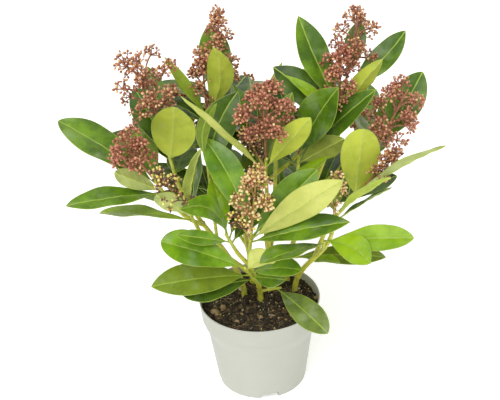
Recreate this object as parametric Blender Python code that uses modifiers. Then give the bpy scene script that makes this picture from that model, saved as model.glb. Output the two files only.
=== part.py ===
"""Potted skimmia: a small evergreen flowering shrub in a pale round nursery pot.

Seven stems rise from the soil, boughs leave their sides, and each stem or bough ends at one
mass of foliage: a leafy shoot with whorled leathery leaves and, on most, an upright spray of
flower buds. Every stem, bough and mass is a solid of its own, and neighbours keep a hair's gap.

Frame: metres, +Z up, the origin at the middle of the pot's flat underside. Bearings are degrees
round from +X towards +Y, and a rise is degrees above level.
"""
import math
import random
from dataclasses import dataclass, field, replace

import bmesh
import bpy
from mathutils import Matrix, Vector
from mathutils.bvhtree import BVHTree

OBJECT_NAME = "potted_skimmia"
GAP = 0.0003                 # clear space between solids that touch on the real plant
LEAF_ROOM = 0.0004           # the least room between leaves of different masses

# The pot, a 12 cm nursery pot
POT_HEIGHT = 0.094
RIM_RADIUS = 0.060
COLLAR_RADIUS = 0.0578       # foot of the upright collar
COLLAR_DEPTH = 0.020
SHOULDER_RADIUS = 0.0520     # foot of the sloping shoulder
SHOULDER_DEPTH = 0.037
BASE_RADIUS = 0.0440
WALL = 0.0012
FLOOR = 0.0025
BASE_ROUND = 0.0020          # rounding of the bottom edge
HEEL = 0.0070                # width of the solid heel where wall and floor meet
HEEL_HEIGHT = 0.0075
NOTCH_WIDTH = 0.018
NOTCH_HEIGHT = 0.0035
NOTCH_REACH = 0.0040         # how far a notch is cut in from the outside
NOTCH_BEARINGS = (-82, 8, 98, 188)
POT_SEGMENTS = 36
SMOOTH_WALLS = 14            # degrees: a sharper edge of the pot or the soil keeps its crease

# The soil
SOIL_TOP = 0.0865
SOIL_EDGE_DROP = 0.0030      # the soil sinks a little towards the wall
SOIL_FLAT = 0.048            # radius of the level middle

# Stems and boughs
STEM_RADIUS = 0.0027
STEM_TIP_RADIUS = 0.0019
BOUGH_RADIUS = 0.0021
BOUGH_TIP_RADIUS = 0.0017
FLARE = 1.2                  # how much wider a stem is at the soil
FLARE_HEIGHT = 0.006
LIMB_STEPS = 5
LIMB_BEVEL = 1               # gives limbs six sides
SMOOTH_LIMBS = 65            # degrees: only the flat cuts keep their crease

# Leafy shoots
SHOOT_FOOT = 0.016           # the shoot's own stem starts this far below its whorl
SHOOT_RADIUS = 0.0016
WHORL_SPAN = (-0.007, 0.004)  # leaves leave the stem between these heights about the whorl

# Leaves
PETIOLE_WIDTH = 0.0024
LEAF_THICKNESS = 0.014       # at the midrib, as a share of the length
LEAF_FOLD = 11               # degrees that each half of the blade rises from the midrib
LEAF_OUTLINE = ((0.10, 0.10), (0.42, 0.94), (0.74, 0.86))   # share of length, share of width
NUDGES = ((0, 0), (5, 0), (-5, 0), (0, 5), (0, -5), (9, 4), (-9, 4), (12, -5), (-12, -5), (0, 12))

# Blossom
AXIS_RADIUS = 0.0012
TWIG_RADIUS = 0.0007
GOLDEN_ANGLE = 137.5
CLUSTER_SIZE = 0.0074
SWELL_START = 0.30           # where on its arch of widths a spray starts

LEAF_GREEN = (0.10, 0.25, 0.04)
STEM_GREEN = (0.33, 0.38, 0.08)
POT_GREY = (0.66, 0.68, 0.62)
SOIL_BROWN = (0.045, 0.030, 0.022)


@dataclass(frozen=True)
class Leaf:
    """One leaf: the line from its foot to its tip, and how the blade lies along it."""

    bearing: float
    rise: float
    length: float
    width: float = 0.34        # share of the length
    bend: float = 16           # degrees that the blade curves down from foot to tip
    roll: float = 0            # degrees of turn about its own line
    sway: float = 0.0          # how far the middle curves to its side, as a share of the length
    seat: float = None         # height about the whorl, where the order of rises doesn't give it


@dataclass(frozen=True)
class Spray:
    """An upright spray of flower buds above a shoot's whorl."""

    stalk: float               # bare length between whorl and blossom
    length: float
    radius: float
    clusters: int
    bearing: float = 90        # which way the spray's axis points
    rise: float = 90
    crown: float = 0.96        # 0.96 is a pointed spray, 0.78 a domed one


@dataclass(frozen=True)
class Shoot:
    """A mass of foliage: the whorl's centre, the shoot's heading, its leaves and its blossom."""

    name: str
    whorl: tuple
    bearing: float
    rise: float
    leaves: tuple
    fill: tuple = ()           # first bearing, last bearing, count and rise of the further leaves
    spray: Spray = None
    seed: int = 1
    span: tuple = WHORL_SPAN


@dataclass(frozen=True)
class Stem:
    """A stem from the soil to the foot of its own shoot."""

    name: str
    foot: tuple
    shoot: str
    sway: float = 0.9          # how far the stem keeps its upright start


@dataclass(frozen=True)
class Bough:
    """A bough from the side of a stem to the foot of its shoot."""

    shoot: str
    stem: str
    leaves_at: float           # share of the stem's height where the bough leaves it
    spread: float = 50         # degrees between the bough's start and the stem


@dataclass(frozen=True)
class SideTwig:
    """The seat of a low shoot whose own short stem leaves the side of a stem."""

    shoot: str
    stem: str
    leaves_at: float


@dataclass
class Limb:
    """A stem's or bough's centre line with its radii."""

    name: str
    points: list
    radii: list = field(default_factory=list)


STEMS = (
    Stem("stem_front", (0.001, 0.002), "front"),
    Stem("stem_left", (-0.015, 0.012), "upper_left"),
    Stem("stem_centre", (0.011, 0.018), "centre"),
    Stem("stem_right", (0.036, 0.014), "front_right"),
    Stem("stem_back_left", (-0.006, 0.033), "top_left"),
    Stem("stem_back_right", (0.029, 0.034), "top_right"),
    Stem("stem_rear", (0.012, 0.045), "back"),
)

BOUGHS = (
    Bough("low_left", "stem_front", 0.50),
    Bough("left_low", "stem_front", 0.74, spread=40),
    Bough("left", "stem_left", 0.62),
    Bough("mid_right", "stem_centre", 0.50),
    Bough("inner_left", "stem_back_left", 0.66, spread=40),
    Bough("back_left", "stem_back_left", 0.42),
    Bough("low_right", "stem_right", 0.55),
    Bough("inner_right", "stem_back_right", 0.72, spread=40),
    Bough("right", "stem_back_right", 0.48),
    Bough("far_right", "stem_rear", 0.42),
    Bough("back_right", "stem_rear", 0.66, spread=45),
    Bough("back_middle", "stem_rear", 0.30, spread=40),
)

SIDE_TWIGS = (
    SideTwig("front_low", "stem_front", 0.24),
    SideTwig("rim_low", "stem_front", 0.12),
    SideTwig("right_low", "stem_right", 0.70),
    SideTwig("behind_low", "stem_back_right", 0.16),
    SideTwig("mid_left", "stem_left", 0.46),
    SideTwig("low_back_left", "stem_back_left", 0.24),
    SideTwig("low_back_right", "stem_back_right", 0.28),
    SideTwig("low_back", "stem_rear", 0.14),
)

SHOOTS = (
    Shoot("front", (-0.006, -0.040, 0.188), -50, 81, (
        Leaf(128, 50, 0.100, 0.30, 12, -24, sway=0.05),
        Leaf(-12, 39, 0.112, 0.27, 14, -95),
        Leaf(17, 41, 0.089, 0.36, 12, 50),
        Leaf(33, 33, 0.110, 0.29, 26, -20),
        Leaf(-7, 15, 0.096, 0.30, 18, 22, seat=-0.005),
    ), (), Spray(0.028, 0.060, 0.023, 10, -50, 81), 17),
    Shoot("front_low", (-0.008, -0.030, 0.140), -100, 62, (
        Leaf(-176, 26, 0.085, 0.40, 22, -36, seat=0.026),
        Leaf(-158, 10, 0.101, 0.33, 26, -34, seat=-0.001),
        Leaf(-146, 20, 0.083, 0.36, 20, -30, seat=-0.018),
        Leaf(-30, 19, 0.060, 0.36, 12, 26, sway=-0.05, seat=0.008),
        Leaf(-40, 17, 0.043, 0.46, 12, 40, seat=-0.007),
        Leaf(-36, 46, 0.042, 0.62, 10, -60, seat=0.020),
    ), (), None, 25, (-0.014, 0.026)),
    Shoot("right_low", (0.062, -0.046, 0.184), -60, 60, (
        Leaf(-44, -2, 0.054, 0.50, 16, 30, sway=-0.10, seat=0.006),
        Leaf(-18, 11, 0.085, 0.30, 16, 40),
    ), (-160, -130, 1, 4), None, 24),
    Shoot("left_low", (-0.027, -0.034, 0.185), 200, 66, (
        Leaf(-147, 46, 0.072, 0.32, 30, -55, sway=0.20),
        Leaf(-147, 28, 0.065, 0.22, 12, -60, seat=-0.005),
        Leaf(110, 54, 0.056, 0.38, 10, 10),
    ), (36, 76, 2, 16), None, 26),
    Shoot("rim_low", (0.017, -0.014, 0.112), -60, 40, (
        Leaf(-56, -5, 0.081, 0.34, 26, 22, seat=0.0),
    ), (), None, 37),
    Shoot("centre", (0.011, 0.000, 0.238), 90, 86, (
        Leaf(109, 33, 0.105, 0.34, 10, 29),
        Leaf(-166, 50, 0.118, 0.15, -6, 30),
        Leaf(84, 38, 0.094, 0.40, 12, -24),
        Leaf(50, 54, 0.073, 0.29, 12, 10),
        Leaf(-25, 53, 0.077, 0.32, 10, -78),
        Leaf(99, 40, 0.100, 0.22, 18, 60),
    ), (140, 170, 1, 5), Spray(0.042, 0.050, 0.031, 11, 90, 90, crown=0.80), 16),
    Shoot("upper_left", (-0.079, 0.015, 0.247), 139, 74, (
        Leaf(-66, 73, 0.069, 0.62, 14, -34, seat=-0.003),
        Leaf(114, 12, 0.085, 0.38),
        Leaf(105, 38, 0.100, 0.34, 10, 35),
    ), (60, 140, 2, 16), Spray(0.046, 0.070, 0.034, 13, 150, 75, crown=0.78), 11),
    Shoot("left", (-0.090, -0.020, 0.239), 198, 64, (
        Leaf(156, 27, 0.112, 0.35, 14, -10),
        Leaf(-158, 36, 0.055, 0.32, 14, 106, seat=-0.010),
        Leaf(-166, 3, 0.092, 0.27, 18, -18, seat=-0.013),
    ), (70, 120, 2, 4), Spray(0.032, 0.036, 0.022, 9, 190, 58, crown=0.70), 12),
    Shoot("low_left", (-0.060, -0.040, 0.215), 226, 66, (
        Leaf(158, -5, 0.098, 0.26, 14, 7),
        Leaf(-146, 46, 0.050, 0.42, 10, 60),
        Leaf(-48, 74, 0.080, 0.26, 24, 16),
        Leaf(91, 18, 0.085, 0.34, 10, -50),
    ), (), Spray(0.022, 0.050, 0.018, 8, 208, 60), 13),
    Shoot("low_right", (0.090, -0.020, 0.213), -20, 52, (
        Leaf(-23, 40, 0.115, 0.24, 16, -22),
        Leaf(-52, 81, 0.078, 0.46, 12, -44),
        Leaf(80, 6, 0.075, 0.34),
    ), (), Spray(0.042, 0.032, 0.014, 6, -12, 54), 21),
    Shoot("mid_right", (0.043, 0.030, 0.230), 60, 80, (
        Leaf(-22, 63, 0.088, 0.44, 12, 66, sway=-0.03),
        Leaf(-12, 46, 0.106, 0.26, 14, 40),
        Leaf(-30, 38, 0.062, 0.40, 12, -80),
        Leaf(120, 12, 0.078, 0.34),
    ), (), Spray(0.024, 0.030, 0.013, 5, 40, 80), 23),
    Shoot("inner_right", (0.083, 0.035, 0.277), 80, 84, (
        Leaf(139, 60, 0.095, 0.32, 12, -24, sway=-0.03),
        Leaf(168, 38, 0.064, 0.18, 16, -40),
        Leaf(-12, 55, 0.070, 0.27, 12, -70),
        Leaf(156, 34, 0.080, 0.40, 14, -40),
    ), (-60, -20, 1, 2), Spray(0.013, 0.056, 0.022, 10, 80, 84, crown=0.84), 19),
    Shoot("top_left", (-0.028, 0.060, 0.283), 92, 78, (
        Leaf(105, 62, 0.070, 0.44, 10, -6),
        Leaf(70, 0, 0.070, 0.36, 12, 10),
        Leaf(150, 0, 0.080, 0.34),
    ), (30, 120, 2, -12), Spray(0.016, 0.078, 0.022, 10, 90, 80), 14),
    Shoot("inner_left", (-0.042, 0.045, 0.272), 120, 80, (
        Leaf(-50, 78, 0.076, 0.34, 12, -40, sway=-0.12),
        Leaf(176, 60, 0.074, 0.15, 14, -60),
        Leaf(176, 16, 0.080, 0.34),
        Leaf(130, 2, 0.075, 0.36),
    ), (), Spray(0.020, 0.054, 0.016, 7, 120, 86, crown=0.84), 15),
    Shoot("right", (0.116, 0.020, 0.241), 12, 70, (
        Leaf(43, 41, 0.086, 0.38, 12, 30, sway=0.02),
        Leaf(64, 36, 0.075, 0.34, 12, -38),
        Leaf(107, 22, 0.060, 0.36, 10, 37),
        Leaf(70, 0, 0.052, 0.38),
    ), (), Spray(0.016, 0.062, 0.029, 11, 10, 63, crown=0.78), 20),
    Shoot("top_right", (0.091, 0.060, 0.296), 43, 74, (
        Leaf(28, 32, 0.082, 0.31, 12, 30, sway=0.07),
        Leaf(60, 56, 0.056, 0.36, 10, 20),
    ), (70, 150, 2, -22), Spray(0.024, 0.054, 0.028, 9, 43, 74, crown=0.86), 18),
    Shoot("front_right", (0.072, -0.035, 0.205), -70, 78, (
        Leaf(-90, 74, 0.040, 0.50, 10, 20),
        Leaf(-24, 44, 0.075, 0.26, 14, -33),
        Leaf(44, 16, 0.070, 0.20, 10, -30),
        Leaf(128, 30, 0.080, 0.30),
    ), (), Spray(0.012, 0.040, 0.014, 6, -70, 80), 22),
    Shoot("behind_low", (0.038, 0.022, 0.124), -30, 50, (
        Leaf(-22, 11, 0.097, 0.27, 16, 20),
        Leaf(-38, 14, 0.052, 0.24, 12, 10),
    ), (), None, 32),
    Shoot("mid_left", (-0.044, 0.000, 0.250), 180, 70, (
        Leaf(44, 62, 0.080, 0.42, 10, 40, sway=-0.08),
        Leaf(30, 76, 0.058, 0.22, 16, 50, sway=-0.14),
        Leaf(70, 30, 0.060, 0.38, 12, 10),
        Leaf(152, 8, 0.070, 0.36, 12, 10),
        Leaf(100, 4, 0.066, 0.36, 12, 0),
    ), (), None, 33, (-0.048, 0.000)),
    Shoot("back", (0.000, 0.125, 0.215), 100, 66, (
        Leaf(14, 67, 0.082, 0.10, 34, 60, seat=-0.006),
    ), (-10, 300, 7, 0), Spray(0.018, 0.042, 0.020, 6, 100, 72), 27),
    Shoot("back_left", (-0.062, 0.098, 0.222), 130, 64, (), (-10, 290, 7, 3),
          Spray(0.018, 0.040, 0.019, 6, 130, 70), 28),
    Shoot("back_right", (0.058, 0.118, 0.225), 65, 66, (), (-10, 300, 7, -3),
          Spray(0.018, 0.040, 0.020, 6, 65, 72), 29),
    Shoot("far_right", (0.102, 0.085, 0.220), 35, 62, (), (48, 112, 4, -2),
          Spray(0.016, 0.036, 0.018, 6, 130, 66), 30),
    Shoot("back_middle", (0.022, 0.080, 0.225), 90, 80, (), (0, 300, 5, 8),
          Spray(0.016, 0.034, 0.016, 4, 90, 84), 31),
    Shoot("low_back_left", (-0.034, 0.052, 0.168), 150, 50, (), (85, 175, 5, 8), None, 34),
    Shoot("low_back_right", (0.062, 0.050, 0.170), 10, 50, (), (5, 130, 5, 6), None, 35),
    Shoot("low_back", (0.028, 0.108, 0.150), 60, 50, (), (-10, 125, 5, 4), None, 36),
)


def heading(bearing, rise):
    """Return the unit vector at a bearing and a rise in degrees."""
    level = math.cos(math.radians(rise))
    return Vector((
        level * math.cos(math.radians(bearing)),
        level * math.sin(math.radians(bearing)),
        math.sin(math.radians(rise)),
    ))


def square_to(line):
    """Return a unit vector square to a line, as upright as it can be."""
    guide = Vector((0, 0, 1)) if abs(line.z) < 0.999 else Vector((0, 1, 0))
    return (guide - line * guide.dot(line)).normalized()


def along_curve(start, start_way, end, end_way, steps):
    """Return points on a smooth curve that leaves and arrives in the given directions."""
    reach = (end - start).length
    points = []
    for step in range(steps + 1):
        t = step / steps
        points.append(
            start * (2 * t**3 - 3 * t**2 + 1)
            + start_way * reach * (t**3 - 2 * t**2 + t)
            + end * (3 * t**2 - 2 * t**3)
            + end_way * reach * (t**3 - t**2)
        )
    return points


def new_material(name, colour, roughness):
    """Return a Principled material of one colour."""
    material = bpy.data.materials.new(name)
    material.use_nodes = True
    shader = material.node_tree.nodes["Principled BSDF"]
    shader.inputs["Base Color"].default_value = (*colour, 1)
    shader.inputs["Roughness"].default_value = roughness
    shader.inputs["Metallic"].default_value = 0
    return material


def new_object(name, mesh, collection, material=None):
    """Put a mesh in a collection as a named object."""
    piece = bpy.data.objects.new(name, mesh)
    if material:
        mesh.materials.clear()
        mesh.materials.append(material)
    collection.objects.link(piece)
    return piece


def new_collection(name):
    """Return a new collection in the scene."""
    collection = bpy.data.collections.new(name)
    bpy.context.scene.collection.children.link(collection)
    return collection


def mesh_of(name, builder):
    """Turn a bmesh into a mesh and free it."""
    mesh = bpy.data.meshes.new(name)
    builder.to_mesh(mesh)
    builder.free()
    return mesh


def evaluated_mesh(piece):
    """Return a new mesh of an object as its modifiers leave it."""
    bpy.context.view_layer.update()
    graph = bpy.context.evaluated_depsgraph_get()
    return bpy.data.meshes.new_from_object(piece.evaluated_get(graph))


def smooth_over(mesh, angle):
    """Shade a mesh smooth, and keep the edges that are sharper than an angle in degrees."""
    mesh.shade_smooth()
    mesh.set_sharp_from_angle(angle=math.radians(angle))


# The pot and the soil

def pot_radius(height, inset=0.0):
    """Return the pot's outer radius at a height, less an inset."""
    marks = (
        (0.0, BASE_RADIUS),
        (POT_HEIGHT - SHOULDER_DEPTH, SHOULDER_RADIUS),
        (POT_HEIGHT - COLLAR_DEPTH, COLLAR_RADIUS),
        (POT_HEIGHT, RIM_RADIUS),
    )
    for (low, narrow), (high, wide) in zip(marks, marks[1:]):
        if height <= high:
            return narrow + (wide - narrow) * (height - low) / (high - low) - inset
    return RIM_RADIUS - inset


def turned(name, profile, collection, material, segments=POT_SEGMENTS):
    """Turn a profile of (radius, height) pairs, outer side downwards, about the Z axis."""
    builder = bmesh.new()
    corners = [builder.verts.new((radius, 0, height)) for radius, height in profile]
    for first, second in zip(corners, corners[1:]):
        builder.edges.new((first, second))
    piece = new_object(name, mesh_of(name, builder), collection, material)
    screw = piece.modifiers.new("turn", "SCREW")
    screw.steps = segments
    screw.render_steps = segments
    screw.use_merge_vertices = True
    screw.merge_threshold = 0.00001
    return piece


def settle(piece):
    """Apply a turned piece's modifiers and shade its round walls smooth."""
    shape = evaluated_mesh(piece)
    piece.modifiers.clear()
    piece.data = shape
    shape.name = piece.name
    smooth_over(shape, SMOOTH_WALLS)
    return piece


def make_pot(collection, cutters):
    """Make the pot: collar, shoulder, tapering wall, floor with a solid heel, foot notches."""
    collar = POT_HEIGHT - COLLAR_DEPTH
    shoulder = POT_HEIGHT - SHOULDER_DEPTH
    outside = [(RIM_RADIUS, POT_HEIGHT)]
    outside += [(pot_radius(height), height) for height in (collar, shoulder, BASE_ROUND)]
    outside += [(BASE_RADIUS - BASE_ROUND, 0.0), (0.0, 0.0)]
    inside = [(0.0, FLOOR), (BASE_RADIUS - HEEL, FLOOR)]
    inside += [(pot_radius(height, WALL), height) for height in (HEEL_HEIGHT, shoulder, collar)]
    inside += [(RIM_RADIUS - WALL, POT_HEIGHT), (RIM_RADIUS, POT_HEIGHT)]
    pot = turned("pot", outside + inside, collection, new_material("pot_plastic", POT_GREY, 0.45))
    for number, bearing in enumerate(NOTCH_BEARINGS):
        builder = bmesh.new()
        bmesh.ops.create_cube(builder, size=1)
        size = Matrix.Diagonal((2 * NOTCH_REACH, NOTCH_WIDTH, 2 * NOTCH_HEIGHT, 1))
        turn = Matrix.Rotation(math.radians(bearing), 4, "Z")
        shift = Matrix.Translation((BASE_RADIUS, 0, 0))
        bmesh.ops.transform(builder, matrix=turn @ shift @ size, verts=builder.verts)
        name = f"notch_cutter_{number}"
        cutter = new_object(name, mesh_of(name, builder), cutters)
        cutter.hide_render = True
        cutter.display_type = "WIRE"
        cut = pot.modifiers.new(name, "BOOLEAN")
        cut.object = cutter
        cut.operation = "DIFFERENCE"
    return settle(pot)


def make_soil(collection):
    """Make the soil that fills the pot, a gap clear of its wall and floor."""
    inset = WALL + GAP
    collar = POT_HEIGHT - COLLAR_DEPTH
    shoulder = POT_HEIGHT - SHOULDER_DEPTH
    edge = SOIL_TOP - SOIL_EDGE_DROP
    profile = [(0.0, SOIL_TOP), (SOIL_FLAT, SOIL_TOP), (pot_radius(edge, inset), edge)]
    profile += [(pot_radius(height, inset), height) for height in (collar, shoulder)]
    profile += [(pot_radius(HEEL_HEIGHT, inset), HEEL_HEIGHT + GAP)]
    profile += [(BASE_RADIUS - HEEL - GAP, FLOOR + GAP), (0.0, FLOOR + GAP)]
    return settle(turned("soil", profile, collection, new_material("soil", SOIL_BROWN, 0.95)))


# Stems and boughs

def shoot_foot(shoot):
    """Return where a shoot's own stem starts."""
    return Vector(shoot.whorl) - heading(shoot.bearing, shoot.rise) * SHOOT_FOOT


def stem_line(stem, shoot):
    """Lay a stem from its flat cut on the soil to just under its shoot."""
    foot = Vector((*stem.foot, SOIL_TOP + GAP))
    start = foot + Vector((0, 0, FLARE_HEIGHT))
    way = heading(shoot.bearing, shoot.rise)
    end = shoot_foot(shoot) - way * GAP
    upright = (Vector((0, 0, stem.sway)) + (end - start).normalized() * 0.4).normalized()
    points = [foot, foot.lerp(start, 0.5)] + along_curve(start, upright, end, way, LIMB_STEPS)
    radii = [STEM_RADIUS * FLARE, STEM_RADIUS * (1 + FLARE) / 2]
    for step in range(LIMB_STEPS + 1):
        radii.append(STEM_RADIUS + (STEM_TIP_RADIUS - STEM_RADIUS) * step / LIMB_STEPS)
    return Limb(stem.name, points, radii)


def point_on(limb, share):
    """Return the point and heading at a share of a limb's run."""
    place = share * (len(limb.points) - 1)
    index = min(int(place), len(limb.points) - 2)
    low, high = limb.points[index], limb.points[index + 1]
    return low.lerp(high, place - index), (high - low).normalized()


def room_to(limb, point):
    """Return how far a point is outside a limb's surface."""
    room = math.inf
    pairs = zip(limb.points, limb.points[1:], limb.radii, limb.radii[1:])
    for low, high, wide, narrow in pairs:
        run = high - low
        share = min(1.0, max(0.0, (point - low).dot(run) / run.length_squared))
        radius = wide + (narrow - wide) * share
        room = min(room, (point - low - run * share).length - radius)
    return room


def seat_beside(stem, root, way, radius):
    """Return where a twig's flat end clears the side of the stem that it leaves by the gap."""
    across = square_to(way)
    over = way.cross(across)
    rim = []
    for side in range(12):
        turn = math.radians(30 * side)
        rim.append((across * math.cos(turn) + over * math.sin(turn)) * radius)
    seat = root.copy()
    while min(room_to(stem, seat + corner) for corner in rim) < GAP:
        seat += way * GAP / 3
    return seat


def bough_line(bough, shoot, stem):
    """Lay a bough from its seat beside a stem to just under its shoot."""
    root, stem_way = point_on(stem, bough.leaves_at)
    way = heading(shoot.bearing, shoot.rise)
    end = shoot_foot(shoot) - way * GAP
    aside = end - root
    aside = (aside - stem_way * aside.dot(stem_way)).normalized()
    spread = math.radians(bough.spread)
    start_way = stem_way * math.cos(spread) + aside * math.sin(spread)
    start = seat_beside(stem, root, start_way, BOUGH_RADIUS)
    points = along_curve(start, start_way, end, way, LIMB_STEPS)
    radii = []
    for step in range(LIMB_STEPS + 1):
        radii.append(BOUGH_RADIUS + (BOUGH_TIP_RADIUS - BOUGH_RADIUS) * step / LIMB_STEPS)
    return Limb(f"bough_{bough.shoot}", points, radii)


def make_limb(limb, collection, material):
    """Make a limb as a bevelled curve with filled caps, then as a closed mesh."""
    curve = bpy.data.curves.new(limb.name, "CURVE")
    curve.dimensions = "3D"
    curve.bevel_depth = 1.0
    curve.bevel_resolution = LIMB_BEVEL
    curve.use_fill_caps = True
    spline = curve.splines.new("POLY")
    spline.points.add(len(limb.points) - 1)
    for knot, point, radius in zip(spline.points, limb.points, limb.radii):
        knot.co = (*point, 1)
        knot.radius = radius
    line = new_object(f"{limb.name}_line", curve, collection)
    builder = bmesh.new()
    builder.from_mesh(evaluated_mesh(line))
    bmesh.ops.remove_doubles(builder, verts=builder.verts, dist=0.000001)
    piece = new_object(limb.name, mesh_of(limb.name, builder), collection, material)
    smooth_over(piece.data, SMOOTH_LIMBS)
    piece.matrix_world = line.matrix_world
    bpy.data.objects.remove(line)
    bpy.data.curves.remove(curve)
    return piece


# Room between the masses

class Room:
    """Keeps what has been placed, so that a new twig or leaf can be tested against it."""

    def __init__(self):
        self.taken = []

    def add(self, node, builder):
        """Take the space of a solid for a node."""
        low, high = box_of(builder)
        self.taken.append((node, BVHTree.FromBMesh(builder), low, high))

    def clear(self, node, builder):
        """Tell whether a solid keeps off every other node's space."""
        low, high = box_of(builder)
        tree = None
        for owner, other, other_low, other_high in self.taken:
            if owner == node:
                continue
            if any(low[k] > other_high[k] or high[k] < other_low[k] for k in range(3)):
                continue
            tree = tree or BVHTree.FromBMesh(builder)
            if tree.overlap(other):
                return False
        return True


def box_of(builder):
    """Return the lowest and highest corners of a bmesh."""
    places = [corner.co for corner in builder.verts]
    low = [min(place[k] for place in places) for k in range(3)]
    high = [max(place[k] for place in places) for k in range(3)]
    return low, high


# Pieces of a mass of foliage

def tapered_rod(start, end, start_radius, end_radius, sides):
    """Return a straight tapering rod."""
    builder = bmesh.new()
    run = end - start
    turn = run.to_track_quat("Z", "Y").to_matrix().to_4x4()
    bmesh.ops.create_cone(
        builder, cap_ends=True, segments=sides, radius1=start_radius, radius2=end_radius,
        depth=run.length, matrix=Matrix.Translation((start + end) / 2) @ turn,
    )
    return builder


def bud_cluster(centre, size, spin):
    """Return the rounded outline of a knot of buds."""
    builder = bmesh.new()
    turn = Matrix.Rotation(spin, 4, "Z")
    bmesh.ops.create_icosphere(
        builder, subdivisions=1, radius=size, matrix=Matrix.Translation(centre) @ turn)
    return builder


def leaf_blade(root, leaf, spare=0.0):
    """Return a leaf: a loft of four-cornered sections along its midrib, closed in a point.

    No primitive has this shape, so its faces are made one ring after another. A spare width
    makes the outline larger all round, for the test of the room about it.
    """
    line = heading(leaf.bearing, leaf.rise)
    up = square_to(line)
    side = line.cross(up)
    roll = math.radians(leaf.roll)
    up, side = up * math.cos(roll) + side * math.sin(roll), side * math.cos(roll) - up * math.sin(roll)
    arch = leaf.length * math.tan(math.radians(leaf.bend / 2)) / 4
    lift = math.tan(math.radians(LEAF_FOLD))
    thick = leaf.length * LEAF_THICKNESS / 2 + spare
    stations = ((0.0, PETIOLE_WIDTH),)
    stations += tuple((share, leaf.length * leaf.width * wide) for share, wide in LEAF_OUTLINE)
    if spare:
        stations = stations[1:]
    builder = bmesh.new()
    rings = []
    for share, width in stations:
        hump = 4 * share * (1 - share)
        middle = root + line * leaf.length * share + (up * arch + side * leaf.sway * leaf.length) * hump
        half = max(width, PETIOLE_WIDTH) / 2 + spare
        edge = up * half * lift * min(1.0, share * 4)
        rings.append([
            builder.verts.new(middle + side * half + edge),
            builder.verts.new(middle + up * thick),
            builder.verts.new(middle - side * half + edge),
            builder.verts.new(middle - up * thick),
        ])
    tip = builder.verts.new(root + line * (leaf.length + spare))
    builder.faces.new(rings[0][::-1])
    for lower, upper in zip(rings, rings[1:]):
        for corner in range(4):
            after = (corner + 1) % 4
            builder.faces.new((lower[corner], lower[after], upper[after], upper[corner]))
    for corner in range(4):
        builder.faces.new((rings[-1][corner], rings[-1][(corner + 1) % 4], tip))
    bmesh.ops.triangulate(builder, faces=builder.faces)
    bmesh.ops.recalc_face_normals(builder, faces=builder.faces)
    return builder


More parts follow.
